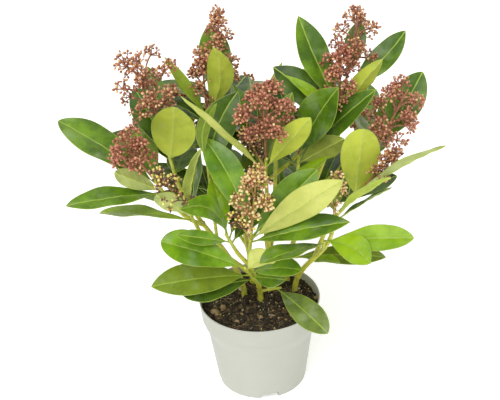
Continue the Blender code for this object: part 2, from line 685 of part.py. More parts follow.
class Mass:
    """A mass of foliage while it grows: the solids that are joined into one node."""

    def __init__(self, shoot, room):
        self.shoot = shoot
        self.room = room
        self.node = f"foliage_{shoot.name}"
        self.draw = random.Random(shoot.seed)
        self.way = heading(shoot.bearing, shoot.rise)
        self.whorl = Vector(shoot.whorl)
        self.solids = []

    def place(self, builder):
        """Keep a solid as part of this mass."""
        self.room.add(self.node, builder)
        self.solids.append(builder)

    def grow_stem(self, foot):
        """Grow the shoot's own stem from its foot, up to the spray or just past the whorl."""
        reach = self.shoot.span[1] + 0.002
        if self.shoot.spray:
            reach = max(reach, self.shoot.spray.stalk * 0.3)
        self.head = self.whorl + self.way * reach
        self.place(tapered_rod(foot, self.head, SHOOT_RADIUS, AXIS_RADIUS, 6))

    def grow_spray(self):
        """Grow the blossom: an axis, twigs by the golden angle, a knot of buds on each."""
        spray = self.shoot.spray
        if spray is None:
            return
        way = heading(spray.bearing, spray.rise)
        base = self.head - way * AXIS_RADIUS
        stalk = spray.stalk * 0.7
        tip = base + way * (stalk + spray.length * 0.86)
        self.place(tapered_rod(base, tip, AXIS_RADIUS * 1.05, TWIG_RADIUS, 5))
        across = square_to(way)
        over = way.cross(across)
        for number in range(spray.clusters):
            share = number / (spray.clusters - 1)
            turn = math.radians(GOLDEN_ANGLE * number + self.draw.uniform(-14, 14))
            out = across * math.cos(turn) + over * math.sin(turn)
            swell = math.sin(math.pi * (SWELL_START + (spray.crown - SWELL_START) * share))
            swell *= self.draw.uniform(0.82, 1.0)
            size = CLUSTER_SIZE * self.draw.uniform(0.85, 1.1) * (0.75 + 0.25 * spray.radius / 0.025)
            spread = max(0.0, spray.radius * swell - size * 0.7)
            height = stalk + spray.length * (0.08 + 0.86 * share) - size * 0.4
            centre = base + way * height + out * spread
            joint = base + way * max(stalk * 0.5, height - spread * (0.5 + 0.9 * share))
            knot = bud_cluster(centre, size, turn)
            if not self.room.clear(self.node, knot):
                knot.free()
                continue
            self.place(knot)
            if spread > size * 0.5:
                self.place(tapered_rod(joint, centre, TWIG_RADIUS, TWIG_RADIUS * 0.8, 3))

    def grow_leaf(self, leaf, height):
        """Grow a leaf where it keeps clear of its neighbours, turned a little if it has to be."""
        root = self.whorl + self.way * height
        for turn, lift in NUDGES:
            turned_leaf = replace(leaf, bearing=leaf.bearing + turn, rise=leaf.rise + lift)
            outline = leaf_blade(root, turned_leaf, LEAF_ROOM)
            free = self.room.clear(self.node, outline)
            outline.free()
            if free:
                self.place(leaf_blade(root, turned_leaf))
                return

    def grow_shown_leaves(self):
        """Grow the leaves that are set by hand, the lowest rise from the lowest place."""
        ordered = sorted(self.shoot.leaves, key=lambda leaf: leaf.rise)
        low, high = self.shoot.span
        for rank, leaf in enumerate(ordered):
            height = low + (high - low) * rank / max(1, len(ordered) - 1)
            self.grow_leaf(leaf, height if leaf.seat is None else leaf.seat)

    def grow_further_leaves(self):
        """Grow the leaves that fill the whorl's other side, by the shoot's own seed."""
        if not self.shoot.fill:
            return
        first, last, count, rise = self.shoot.fill
        low, high = self.shoot.span
        for number in range(count):
            share = (number + 0.5) / count
            leaf = Leaf(
                bearing=first + (last - first) * share + self.draw.uniform(-8, 8),
                rise=rise + self.draw.uniform(-8, 8) + 12 * (number % 2),
                length=self.draw.uniform(0.074, 0.098),
                width=self.draw.uniform(0.30, 0.37),
                bend=self.draw.uniform(12, 26),
                roll=self.draw.uniform(-14, 14),
            )
            self.grow_leaf(leaf, low + (high - low) * (number % 3) / 2)

    def join(self, collection, material):
        """Join the mass's solids into one closed node."""
        workshop = new_collection(f"{self.node}_pieces")
        for number, builder in enumerate(self.solids[1:]):
            name = f"{self.node}_piece_{number}"
            new_object(name, mesh_of(name, builder), workshop)
        stem = mesh_of(self.node, self.solids[0])
        piece = new_object(self.node, stem, collection, material)
        for solver in ("EXACT", "MANIFOLD"):
            union = piece.modifiers.new("union", "BOOLEAN")
            union.operation = "UNION"
            union.operand_type = "COLLECTION"
            union.collection = workshop
            union.solver = solver
            joined = evaluated_mesh(piece)
            piece.modifiers.remove(union)
            if tidy_union(joined):
                break
        piece.data = joined
        joined.name = self.node
        joined.materials.clear()
        joined.materials.append(material)
        for leftover in list(workshop.objects):
            bpy.data.objects.remove(leftover)
        bpy.data.collections.remove(workshop)
        return piece


def tidy_union(mesh):
    """Fill a joined mesh's sealed hollows, drop its loose scraps, and tell if it is closed."""
    builder = bmesh.new()
    builder.from_mesh(mesh)
    bmesh.ops.triangulate(builder, faces=builder.faces)
    bodies = linked_bodies(builder)
    bodies.sort(key=len, reverse=True)
    for scrap in bodies[1:]:
        bmesh.ops.delete(builder, geom=scrap, context="FACES")
    closed = bool(builder.faces) and all(len(edge.link_faces) == 2 for edge in builder.edges)
    builder.to_mesh(mesh)
    builder.free()
    return closed


def linked_bodies(builder):
    """Return the faces of each connected body."""
    waiting = set(builder.faces)
    bodies = []
    while waiting:
        front = [waiting.pop()]
        body = list(front)
        while front:
            face = front.pop()
            for edge in face.edges:
                for other in edge.link_faces:
                    if other in waiting:
                        waiting.remove(other)
                        front.append(other)
                        body.append(other)
        bodies.append(body)
    return bodies


def main():
    """Build the pot, the soil, the limbs and the masses of foliage."""
    for piece in list(bpy.data.objects):
        bpy.data.objects.remove(piece)
    plant = new_collection(OBJECT_NAME)
    cutters = new_collection("cutters")
    bark = new_material("stem_bark", STEM_GREEN, 0.5)
    foliage = new_material("leaf", LEAF_GREEN, 0.4)
    make_pot(plant, cutters)
    make_soil(plant)

    shoots = {shoot.name: shoot for shoot in SHOOTS}
    limbs = {stem.name: stem_line(stem, shoots[stem.shoot]) for stem in STEMS}
    for bough in BOUGHS:
        line = bough_line(bough, shoots[bough.shoot], limbs[bough.stem])
        limbs[line.name] = line
    room = Room()
    for limb in limbs.values():
        piece = make_limb(limb, plant, bark)
        builder = bmesh.new()
        builder.from_mesh(piece.data)
        room.add(limb.name, builder)
        builder.free()

    masses = [Mass(shoot, room) for shoot in SHOOTS]
    sides = {twig.shoot: twig for twig in SIDE_TWIGS}
    for mass in masses:
        foot = shoot_foot(mass.shoot)
        if mass.shoot.name in sides:
            side = sides[mass.shoot.name]
            root, _ = point_on(limbs[side.stem], side.leaves_at)
            mass.way = (mass.whorl - root).normalized()
            foot = seat_beside(limbs[side.stem], root, mass.way, SHOOT_RADIUS)
        mass.grow_stem(foot)
    for mass in masses:
        mass.grow_spray()
    for mass in masses:
        mass.grow_shown_leaves()
    for mass in masses:
        mass.grow_further_leaves()
    for mass in masses:
        mass.join(plant, foliage)


if __name__ == "__main__":
    main()
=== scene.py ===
"""Looks of the potted skimmia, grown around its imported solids.

The limbs, the shoots and the places of the leaves follow the same rule as the solids. Here the
stems get bark, every leaf its own outline, fold and tint, every spray its fine twigs and buds,
the pot its rim and foot, and the soil its crumbs. Metres, +Z up, +X right and +Y away in the
photograph's view. Bearings are degrees round from +X towards +Y, a rise is degrees above level.
"""

import logging
import math
import random
from dataclasses import dataclass, field, replace
from enum import Enum
from typing import Any, Iterable, Optional, Sequence, Union

import bpy
import numpy as np
from mathutils import Matrix, Vector, noise
from mathutils.bvhtree import BVHTree


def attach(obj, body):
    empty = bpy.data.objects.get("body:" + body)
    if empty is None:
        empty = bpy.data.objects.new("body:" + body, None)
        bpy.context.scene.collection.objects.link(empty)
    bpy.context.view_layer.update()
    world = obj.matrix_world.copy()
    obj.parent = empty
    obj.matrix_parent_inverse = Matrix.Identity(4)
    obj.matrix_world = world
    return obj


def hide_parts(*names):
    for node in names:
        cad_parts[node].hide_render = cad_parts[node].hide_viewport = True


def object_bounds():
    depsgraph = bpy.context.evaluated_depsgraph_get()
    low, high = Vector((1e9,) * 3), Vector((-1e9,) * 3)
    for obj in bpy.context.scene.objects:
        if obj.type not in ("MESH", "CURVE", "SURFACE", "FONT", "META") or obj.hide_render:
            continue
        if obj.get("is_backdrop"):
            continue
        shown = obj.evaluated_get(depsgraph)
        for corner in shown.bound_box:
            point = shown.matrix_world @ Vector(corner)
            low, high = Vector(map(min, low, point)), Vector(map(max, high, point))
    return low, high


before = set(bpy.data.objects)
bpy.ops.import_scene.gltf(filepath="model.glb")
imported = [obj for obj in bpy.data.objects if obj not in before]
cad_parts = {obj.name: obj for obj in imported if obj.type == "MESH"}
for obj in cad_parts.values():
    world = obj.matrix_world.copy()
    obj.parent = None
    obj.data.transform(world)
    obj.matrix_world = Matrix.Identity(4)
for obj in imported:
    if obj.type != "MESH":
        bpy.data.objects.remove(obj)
CAD_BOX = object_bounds()
BODY = "root"
LOG = logging.getLogger("skimmia")

Colour = tuple[float, float, float]
Array = np.ndarray


# Names of the options

class Tint(Enum):
    """What a leaf looks like, from its deepest green to the palest underside."""

    DEEP = "deep"
    MID = "mid"
    BRIGHT = "bright"
    LIME = "lime"
    OLIVE = "olive"
    # a duller, greyer green: partly the leaf's own tone, partly painted reflection of the white surroundings
    GREY = "grey"
    PALE = "pale"


class Bloom(Enum):
    """What a spray of buds looks like."""

    ROSY = "rosy"
    RUSSET = "russet"
    CREAM = "cream"
    GOLDEN = "golden"
    SHADED = "shaded"


class BudTone(Enum):
    """One plain colour of a bud's body or tip."""

    BRICK = "brick"
    ROSE = "rose"
    RUSSET = "russet"
    TAN = "tan"
    CREAM = "cream"
    YELLOW = "yellow"
    UMBER = "umber"


class TwigTone(Enum):
    """One plain colour of a twig."""

    GREEN = "green"
    STALK = "stalk"
    REDDISH = "reddish"
    BROWN = "brown"


class CrumbTone(Enum):
    """One plain colour of what lies on the soil."""

    PEAT = "peat"
    BARK = "bark"
    CORK = "cork"
    STRAW = "straw"
    GRAIN = "grain"
    LIME = "limestone"


# Shader building

class Signal:
    """A value on its way through a material, with arithmetic that adds Math nodes."""

    def __init__(self, bench: "Bench", socket: bpy.types.NodeSocket) -> None:
        """Wrap an output socket of a bench's material."""
        self.bench = bench
        self.socket = socket

    def math(self, operation: str, other: Any, swapped: bool = False) -> "Signal":
        """Combine this value with another by a Math node.

        Args:
            operation: The Math node's operation.
            other: A number or another value.
            swapped: Whether the other value comes first.

        Returns:
            The result as a value.
        """
        pair = (other, self) if swapped else (self, other)
        made = self.bench.node("ShaderNodeMath", {"operation": operation}, {0: pair[0], 1: pair[1]})
        return Signal(self.bench, made.outputs[0])

    def __add__(self, other: Any) -> "Signal":
        """Return the sum."""
        return self.math("ADD", other)

    def __radd__(self, other: Any) -> "Signal":
        """Return the sum with this value second."""
        return self.math("ADD", other, True)

    def __sub__(self, other: Any) -> "Signal":
        """Return the difference."""
        return self.math("SUBTRACT", other)

    def __rsub__(self, other: Any) -> "Signal":
        """Return the difference with this value second."""
        return self.math("SUBTRACT", other, True)

    def __mul__(self, other: Any) -> "Signal":
        """Return the product."""
        return self.math("MULTIPLY", other)

    def __rmul__(self, other: Any) -> "Signal":
        """Return the product with this value second."""
        return self.math("MULTIPLY", other, True)

    def clipped(self) -> "Signal":
        """Return the value kept between nought and one."""
        made = self.bench.node("ShaderNodeClamp", {}, {"Value": self})
        # Work out the solids' box and the visual model's box; they are not kept or written.
        return Signal(self.bench, made.outputs[0])


class Bench:
    """Where one material is put together, node by node."""

    def __init__(self, name: str) -> None:
        """Start a material with its Principled shader."""
        self.material = bpy.data.materials.new(name)
        self.material.use_nodes = True
        self.tree = self.material.node_tree
        self.shader = self.tree.nodes["Principled BSDF"]
        self.place = self.node("ShaderNodeTexCoord", {}, {}).outputs["Object"]

    def node(self, kind: str, settings: dict[str, Any], sockets: dict[Any, Any]) -> bpy.types.Node:
        """Add a node, set it, and fill or link its sockets.

        Args:
            kind: The node's type.
            settings: Its properties, or "stops" for a colour ramp.
            sockets: Values, signals or sockets by input name or number.

        Returns:
            The node.
        """
        made = self.tree.nodes.new(kind)
        for name, value in settings.items():
            if name == "stops":
                self.set_stops(made.color_ramp, value)
            else:
                setattr(made, name, value)
        for name, value in sockets.items():
            self.feed(made.inputs[name], value)
        return made

    @staticmethod
    def set_stops(ramp: bpy.types.ColorRamp, stops: Sequence[tuple[float, Colour]]) -> None:
        """Give a ramp its stops.

        Args:
            ramp: The ramp of a new node, with its two first stops.
            stops: The place and the colour of each stop.
        """
        while len(ramp.elements) < len(stops):
            ramp.elements.new(0.5)
        for element, (place, colour) in zip(ramp.elements, stops):
            element.position = place
            element.color = (*colour, 1)

    def feed(self, socket: bpy.types.NodeSocket, value: Any) -> None:
        """Set or link one input.

        Args:
            socket: The input.
            value: A number, a colour, a signal or an output socket.
        """
        if isinstance(value, Signal):
            value = value.socket
        if isinstance(value, bpy.types.NodeSocket):
            self.tree.links.new(value, socket)
        elif isinstance(value, tuple) and len(value) == 3 and len(socket.default_value) == 4:
            socket.default_value = (*value, 1)
        else:
            socket.default_value = value

    def set(self, **values: Any) -> None:
        """Fill the Principled shader's sockets, named with underscores for spaces."""
        for name, value in values.items():
            self.feed(self.shader.inputs[name.replace("_", " ")], value)

    def noise(self, scale: float, detail: float = 3.0, rough: float = 0.55) -> Signal:
        """Return noise over the object.

        Args:
            scale: Waves to a metre.
            detail: The noise's octaves.
            rough: How strong the fine octaves are.

        Returns:
            A value about one half.
        """
        made = self.node("ShaderNodeTexNoise", {}, {
            "Vector": self.place, "Scale": scale, "Detail": detail, "Roughness": rough,
        })
        return Signal(self, made.outputs["Fac"])

    def cells(self, scale: float) -> Signal:
        """Return the distance to the nearest of scattered points, for grain and pits."""
        made = self.node("ShaderNodeTexVoronoi", {}, {"Vector": self.place, "Scale": scale})
        return Signal(self, made.outputs["Distance"])

    def height(self) -> Signal:
        """Return the height above the pot's underside."""
        made = self.node("ShaderNodeSeparateXYZ", {}, {0: self.place})
        return Signal(self, made.outputs["Z"])

    def mix(self, share: Any, low: Any, high: Any) -> bpy.types.NodeSocket:
        """Mix two colours.

        Args:
            share: How much of the second colour, as a number or a signal.
            low: The first colour.
            high: The second colour.

        Returns:
            The mixed colour's socket.
        """
        made = self.node("ShaderNodeMix", {"data_type": "RGBA"}, {0: share, 6: low, 7: high})
        return made.outputs[2]

    def ramp(self, value: Signal, stops: Sequence[tuple[float, Colour]]) -> bpy.types.NodeSocket:
        """Return the colour that a ramp gives to a value."""
        return self.node("ShaderNodeValToRGB", {"stops": stops}, {0: value}).outputs[0]

    def bump(self, value: Signal, depth: float) -> None:
        """Make a value stand out of the surface.

        Args:
            value: The relief, about nought to one.
            depth: Its depth in metres.
        """
        made = self.node("ShaderNodeBump", {}, {"Height": value, "Distance": depth, "Strength": 1.0})
        self.feed(self.shader.inputs["Normal"], made.outputs[0])


# Finishes

@dataclass(frozen=True)
class LeafFinish:
    """One face of a leathery leaf."""

    name: str
    colour: Colour
    shade: Colour                 # the colour that mottles it
    gloss: float                  # roughness of the skin
    sheen: float = 0.26           # how strong the painted sheen is: pale patches of painted reflection in the colour
    grain: float = 0.00012        # depth of the fine relief
    # the pale colour of the painted reflection
    painted_sheen_colour: Colour = (0.420, 0.500, 0.330)

    def make(self) -> bpy.types.Material:
        """Build the material: mottling, pale patches of painted sheen (a painted reflection), an uneven gloss and
        a fine grain.
        """
        bench = Bench(self.name)
        drifts = bench.noise(30, 2)
        clouds = bench.noise(110, 4, 0.65)
        speckle = bench.noise(750, 2)
        share = ((drifts - 0.45) * 3.4 + (clouds - 0.5) * 2.0 + (speckle - 0.5) * 0.7 + 0.30).clipped()
        skin = bench.mix(share, self.colour, self.shade)
        # painted reflection: pale patches where the colour is mixed towards the sheen colour
        painted_sheen_share = ((bench.noise(44, 3, 0.6) - 0.53) * 6.0 + (speckle - 0.5) * 0.8).clipped() * self.sheen
        bench.set(
            Base_Color=bench.mix(painted_sheen_share, skin, self.painted_sheen_colour),
            Roughness=self.gloss + (clouds - 0.5) * 0.35 - painted_sheen_share * 0.35,
            Specular_IOR_Level=0.36,
        )
        bench.bump(clouds * 2.2 + bench.noise(900, 2) + bench.cells(520) * 0.4, self.grain)
        return bench.material


@dataclass(frozen=True)
class SkinFinish:
    """A small plain part of the plant, such as a bud, a twig, a midrib or a margin."""

    name: str
    colour: Colour
    shade: Colour
    gloss: float = 0.5
    scale: float = 300
    grain: float = 0.00005

    def make(self) -> bpy.types.Material:
        """Build the material: its colour with a fine variation and a fine grain."""
        bench = Bench(self.name)
        fine = bench.noise(self.scale, 2)
        bench.set(
            Base_Color=bench.mix(((fine - 0.35) * 3.0).clipped(), self.colour, self.shade),
            Roughness=self.gloss + (fine - 0.5) * 0.15,
        )
        bench.bump(bench.noise(self.scale * 3, 2), self.grain)
        return bench.material


@dataclass(frozen=True)
class StemBark:
    """The stems' skin: yellow-green and smooth, with corky freckles and a brown foot."""

    name: str = "stem_bark_skin"
    green: Colour = (0.580, 0.590, 0.050)
    dull: Colour = (0.400, 0.390, 0.045)
    cork: Colour = (0.260, 0.170, 0.070)
    foot: float = 0.087           # height of the soil
    brown_over: float = 0.030     # the brown of the foot fades out over this height

    def make(self) -> bpy.types.Material:
        """Build the material."""
        bench = Bench(self.name)
        streaks = bench.noise(150, 4)
        freckles = bench.cells(420)
        skin = bench.mix(((streaks - 0.38) * 3.0).clipped(), self.green, self.dull)
        browned = (1.0 - (bench.height() - self.foot) * (1 / self.brown_over)).clipped()
        corky = ((0.30 - freckles) * 2.2 + (streaks - 0.56) * 2.0 + browned * 0.55).clipped()
        bench.set(
            Base_Color=bench.mix(corky, skin, self.cork),
            Roughness=0.42 + corky * 0.35,
        )
        bench.bump(streaks * 0.7 + freckles * 0.5, 0.00022)
        return bench.material


@dataclass(frozen=True)
class PotPlastic:
    """The pot's thin pale plastic, with a dull skin and a little dust near the soil."""

    name: str = "pot_plastic_skin"
    pale: Colour = (0.462, 0.470, 0.415)
    warm: Colour = (0.440, 0.445, 0.385)
    dust: Colour = (0.330, 0.270, 0.190)
    rim: float = 0.094

    def make(self) -> bpy.types.Material:
        """Build the material."""
        bench = Bench(self.name)
        clouds = bench.noise(18, 3)
        scuffs = bench.noise(260, 4, 0.7)
        base = bench.mix(((clouds - 0.36) * 2.4).clipped(), self.pale, self.warm)
        near = (1.0 - (self.rim - bench.height()) * 300).clipped()
        dusty = (near * ((scuffs - 0.52) * 5.0).clipped() * 0.6 + (scuffs - 0.70) * 0.8).clipped()
        bench.set(
            Base_Color=bench.mix(dusty, base, self.dust),
            Roughness=0.46 + (scuffs - 0.5) * 0.25,
            Subsurface_Weight=0.0,
        )
        bench.bump(scuffs + bench.noise(1500, 2) * 0.5, 0.00005)
        return bench.material


@dataclass(frozen=True)
class Earth:
    """Moist potting peat, black where its relief is low (partly its own dark, partly painted shade in the hollows)
    and paler where it is highest.
    """

    name: str = "peat"
    dark: Colour = (0.012, 0.008, 0.005)
    brown: Colour = (0.085, 0.060, 0.028)
    pale: Colour = (0.260, 0.195, 0.090)

    def make(self) -> bpy.types.Material:
        """Build the material."""
        bench = Bench(self.name)
        lumps = bench.noise(190, 5, 0.7)
        grit = bench.noise(900, 3, 0.7)
        # one noise gives tone and relief together: the black end is painted shade in the hollows as well as the
        # peat's own dark
        tone = ((lumps - 0.5) * 2.2 + (grit - 0.5) * 1.5 + 0.42).clipped()
        bench.set(
            Base_Color=bench.ramp(tone, ((0.30, self.dark), (0.66, self.brown), (0.95, self.pale))),
            Roughness=0.88 + (grit - 0.5) * 0.2,
        )
        bench.bump(lumps + grit * 0.6, 0.0016)
        return bench.material


@dataclass(frozen=True)
class StudioFloor:
    """The plain pale floor."""

    name: str = "pale_floor"
    colour: Colour = (0.92, 0.92, 0.915)
    glow: float = 0.36            # light of its own, as on a light table

    def make(self) -> bpy.types.Material:
        """Build the material."""
        bench = Bench(self.name)
        faint = bench.noise(3, 2)
        bench.set(
            Base_Color=bench.mix(faint, self.colour, tuple(0.985 * part for part in self.colour)),
            Roughness=0.85,
            Emission_Color=(1.0, 1.0, 1.0),
            Emission_Strength=self.glow,
        )
        return bench.material


# Columns: name, colour, mottling colour, roughness, and the strength of the painted sheen (painted reflection)
UPPER_FINISHES: dict[Tint, LeafFinish] = {
    Tint.DEEP: LeafFinish("leaf_upper_deep", (0.078, 0.158, 0.010), (0.026, 0.062, 0.006), 0.36, 0.18),
    Tint.MID: LeafFinish("leaf_upper_mid", (0.155, 0.292, 0.010), (0.062, 0.138, 0.007), 0.35),
    Tint.BRIGHT: LeafFinish("leaf_upper_bright", (0.200, 0.380, 0.010), (0.095, 0.215, 0.008), 0.34),
    Tint.LIME: LeafFinish("leaf_upper_lime", (0.275, 0.450, 0.006), (0.175, 0.330, 0.006), 0.42, 0.12),
    Tint.OLIVE: LeafFinish("leaf_upper_olive", (0.185, 0.265, 0.018), (0.095, 0.155, 0.011), 0.42),
    # the grey upper is partly painted reflection: its grey and blue stand in for the reflected white surroundings
    Tint.GREY: LeafFinish("leaf_upper_grey", (0.190, 0.260, 0.050), (0.100, 0.155, 0.028), 0.40, 0.34),
    Tint.PALE: LeafFinish("leaf_upper_pale", (0.320, 0.450, 0.030), (0.200, 0.310, 0.018), 0.42),
}

# The undersides are paler than the uppers, as real undersides are, and brighter still: painted light that stands
# in for light shining through the leaf.
UNDER_FINISHES: dict[Tint, LeafFinish] = {
    Tint.DEEP: LeafFinish("leaf_under_deep", (0.180, 0.245, 0.034), (0.105, 0.155, 0.022), 0.60, 0.10),
    Tint.MID: LeafFinish("leaf_under_mid", (0.380, 0.455, 0.055), (0.250, 0.330, 0.036), 0.60, 0.10),
    Tint.BRIGHT: LeafFinish("leaf_under_bright", (0.440, 0.520, 0.055), (0.310, 0.405, 0.036), 0.58, 0.10),
    Tint.LIME: LeafFinish("leaf_under_lime", (0.530, 0.600, 0.064), (0.400, 0.480, 0.045), 0.58, 0.10),
    Tint.OLIVE: LeafFinish("leaf_under_olive", (0.350, 0.400, 0.060), (0.225, 0.280, 0.038), 0.60, 0.10),
    Tint.GREY: LeafFinish("leaf_under_grey", (0.450, 0.520, 0.150), (0.320, 0.390, 0.100), 0.60, 0.16),
    Tint.PALE: LeafFinish("leaf_under_pale", (0.600, 0.625, 0.160), (0.490, 0.530, 0.110), 0.58, 0.10),
}

RIB_FINISHES: tuple[SkinFinish, ...] = (
    SkinFinish("leaf_rib_upper", (0.340, 0.460, 0.055), (0.240, 0.370, 0.038), 0.45),
    SkinFinish("leaf_rib_under", (0.540, 0.610, 0.120), (0.420, 0.510, 0.085), 0.50),
    SkinFinish("leaf_margin", (0.380, 0.480, 0.060), (0.270, 0.380, 0.042), 0.45),
    SkinFinish("leaf_stalk", (0.450, 0.510, 0.060), (0.350, 0.420, 0.050), 0.45),
)

BUD_FINISHES: dict[BudTone, SkinFinish] = {
    BudTone.BRICK: SkinFinish("bud_brick", (0.370, 0.128, 0.066), (0.250, 0.078, 0.045), 0.36),
    BudTone.ROSE: SkinFinish("bud_rose", (0.570, 0.228, 0.138), (0.440, 0.145, 0.090), 0.36),
    BudTone.RUSSET: SkinFinish("bud_russet", (0.530, 0.245, 0.110), (0.400, 0.155, 0.075), 0.38),
    BudTone.TAN: SkinFinish("bud_tan", (0.760, 0.470, 0.240), (0.640, 0.340, 0.165), 0.38),
    BudTone.CREAM: SkinFinish("bud_cream", (0.880, 0.720, 0.360), (0.800, 0.580, 0.250), 0.38),
    BudTone.YELLOW: SkinFinish("bud_yellow", (0.800, 0.700, 0.200), (0.680, 0.570, 0.130), 0.38),
    BudTone.UMBER: SkinFinish("bud_umber", (0.160, 0.075, 0.038), (0.090, 0.040, 0.022), 0.44),
}

TWIG_FINISHES: dict[TwigTone, SkinFinish] = {
    TwigTone.GREEN: SkinFinish("twig_green", (0.540, 0.570, 0.060), (0.380, 0.420, 0.045), 0.45, 180),
    TwigTone.STALK: SkinFinish("twig_stalk", (0.480, 0.330, 0.090), (0.380, 0.220, 0.065), 0.45, 180),
    TwigTone.REDDISH: SkinFinish("twig_reddish", (0.420, 0.190, 0.095), (0.290, 0.110, 0.060), 0.44, 180),
    TwigTone.BROWN: SkinFinish("twig_brown", (0.200, 0.095, 0.048), (0.120, 0.055, 0.030), 0.48, 180),
}

CRUMB_FINISHES: dict[CrumbTone, SkinFinish] = {
    CrumbTone.PEAT: SkinFinish("crumb_peat", (0.016, 0.011, 0.007), (0.045, 0.030, 0.016), 0.9, 500, 0.0003),
    CrumbTone.BARK: SkinFinish("crumb_bark", (0.135, 0.082, 0.034), (0.045, 0.028, 0.013), 0.8, 500, 0.0005),
    CrumbTone.CORK: SkinFinish("crumb_cork", (0.400, 0.275, 0.135), (0.190, 0.120, 0.055), 0.8, 400, 0.0005),
    CrumbTone.STRAW: SkinFinish("crumb_straw", (0.420, 0.330, 0.170), (0.260, 0.190, 0.090), 0.7, 400),
    CrumbTone.GRAIN: SkinFinish("crumb_grain", (0.700, 0.590, 0.230), (0.540, 0.430, 0.150), 0.4, 300),
    CrumbTone.LIME: SkinFinish("crumb_limestone", (0.560, 0.510, 0.400), (0.420, 0.370, 0.280), 0.7, 400),
}

# How often a bud of each look takes each pair of body and tip colours; the tip colour, mostly the paler, is partly
# the buds' own paler ends and partly a painted highlight
BLOOM_TONES: dict[Bloom, tuple[tuple[float, BudTone, BudTone], ...]] = {
    Bloom.ROSY: (
        (0.34, BudTone.ROSE, BudTone.ROSE), (0.26, BudTone.BRICK, BudTone.ROSE),
        (0.20, BudTone.ROSE, BudTone.TAN), (0.12, BudTone.RUSSET, BudTone.TAN),
        (0.08, BudTone.TAN, BudTone.CREAM),
    ),
    Bloom.RUSSET: (
        (0.26, BudTone.BRICK, BudTone.RUSSET), (0.30, BudTone.RUSSET, BudTone.TAN),
        (0.22, BudTone.RUSSET, BudTone.RUSSET), (0.14, BudTone.TAN, BudTone.TAN),
        (0.08, BudTone.TAN, BudTone.CREAM),
    ),
    Bloom.CREAM: (
        (0.22, BudTone.RUSSET, BudTone.TAN), (0.26, BudTone.TAN, BudTone.CREAM),
        (0.26, BudTone.CREAM, BudTone.CREAM), (0.16, BudTone.YELLOW, BudTone.YELLOW),
        (0.10, BudTone.UMBER, BudTone.TAN),
    ),
    Bloom.GOLDEN: (
        (0.30, BudTone.UMBER, BudTone.TAN), (0.24, BudTone.RUSSET, BudTone.YELLOW),
        (0.26, BudTone.YELLOW, BudTone.YELLOW), (0.20, BudTone.UMBER, BudTone.UMBER),
    ),
    Bloom.SHADED: (
        (0.34, BudTone.UMBER, BudTone.BRICK), (0.26, BudTone.UMBER, BudTone.TAN),
        (0.20, BudTone.BRICK, BudTone.RUSSET), (0.20, BudTone.TAN, BudTone.CREAM),
    ),
}


# The plan of the plant, as in the solids

GAP = 0.0003
LEAF_ROOM = 0.0002
SHOOT_FOOT = 0.016
WHORL_SPAN = (-0.007, 0.004)
GOLDEN_ANGLE = 137.5
CLUSTER_SIZE = 0.0074
SOIL_TOP = 0.0865
SHOWN_CLODS = (
    ((-0.0445, -0.0151), 0.0050, CrumbTone.CORK),
    ((-0.0425, -0.0185), 0.0030, CrumbTone.STRAW),
    ((-0.0390, -0.0230), 0.0032, CrumbTone.BARK),
    ((0.0240, -0.0190), 0.0046, CrumbTone.BARK),
    ((0.0245, -0.0310), 0.0022, CrumbTone.CORK),
    ((0.0400, 0.0040), 0.0042, CrumbTone.PEAT),
    ((0.0310, 0.0110), 0.0034, CrumbTone.BARK),
    ((-0.0230, -0.0330), 0.0030, CrumbTone.STRAW),
    ((0.0040, -0.0370), 0.0036, CrumbTone.PEAT),
    ((-0.0120, -0.0300), 0.0028, CrumbTone.BARK),
)
NUDGES = ((0, 0), (5, 0), (-5, 0), (0, 5), (0, -5), (9, 4), (-9, 4), (12, -5), (-12, -5), (0, 12))


@dataclass(frozen=True)
class Leaf:
    """One leaf: the line from its foot to its tip, how the blade lies along it, and its look."""

    bearing: float
    rise: float
    length: float
    width: float = 0.34           # share of the length
    bend: float = 16              # degrees that the blade curves down from foot to tip
    roll: float = 0               # degrees of turn about its own line
    tint: Tint = Tint.MID
    fold: float = 11              # degrees that each half rises from the midrib
    tip: float = 0.80             # 0.5 is a round tip, 1 a pointed one
    curl: float = 0.0             # how far the last third bends down, as a share of the length
    twist: float = 0              # degrees of turn from foot to tip
    sway: float = 0.0             # how far the middle curves to its side, as a share of the length
    base: float = 1.15            # 0.5 is a broad foot, above 1 a narrow one
    seat: Optional[float] = None  # its height about the whorl, where the order doesn't give it


@dataclass(frozen=True)
class Spray:
    """An upright spray of flower buds above a shoot's whorl."""

    stalk: float
    length: float
    radius: float
    clusters: int
    bearing: float = 90
    rise: float = 90
    bloom: Bloom = Bloom.RUSSET
    knots: int = 6                # finer knots of buds in each cluster
    crown: float = 0.96           # 0.96 is a pointed spray, 0.78 a domed one
    fullness: float = 0.4         # clusters between those of the solids, as a share of them


@dataclass(frozen=True)
class Shoot:
    """A mass of foliage: the whorl's centre, the shoot's heading, its leaves and its blossom."""

    name: str
    whorl: tuple[float, float, float]
    bearing: float
    rise: float
    leaves: tuple[Leaf, ...]
    fill: tuple = ()
    spray: Optional[Spray] = None
    seed: int = 1
    span: tuple[float, float] = WHORL_SPAN
    side_sprays: tuple[Spray, ...] = ()


@dataclass(frozen=True)
class Stem:
    """A stem from the soil to the foot of its own shoot."""

    name: str
    foot: tuple[float, float]
    shoot: str
    sway: float = 0.9


@dataclass(frozen=True)
class Bough:
    """A bough from the side of a stem to the foot of its shoot."""

    shoot: str
    stem: str
    leaves_at: float
    spread: float = 50


@dataclass(frozen=True)
class SideTwig:
    """The seat of a low shoot whose own short stem leaves the side of a stem."""

    shoot: str
    stem: str
    leaves_at: float


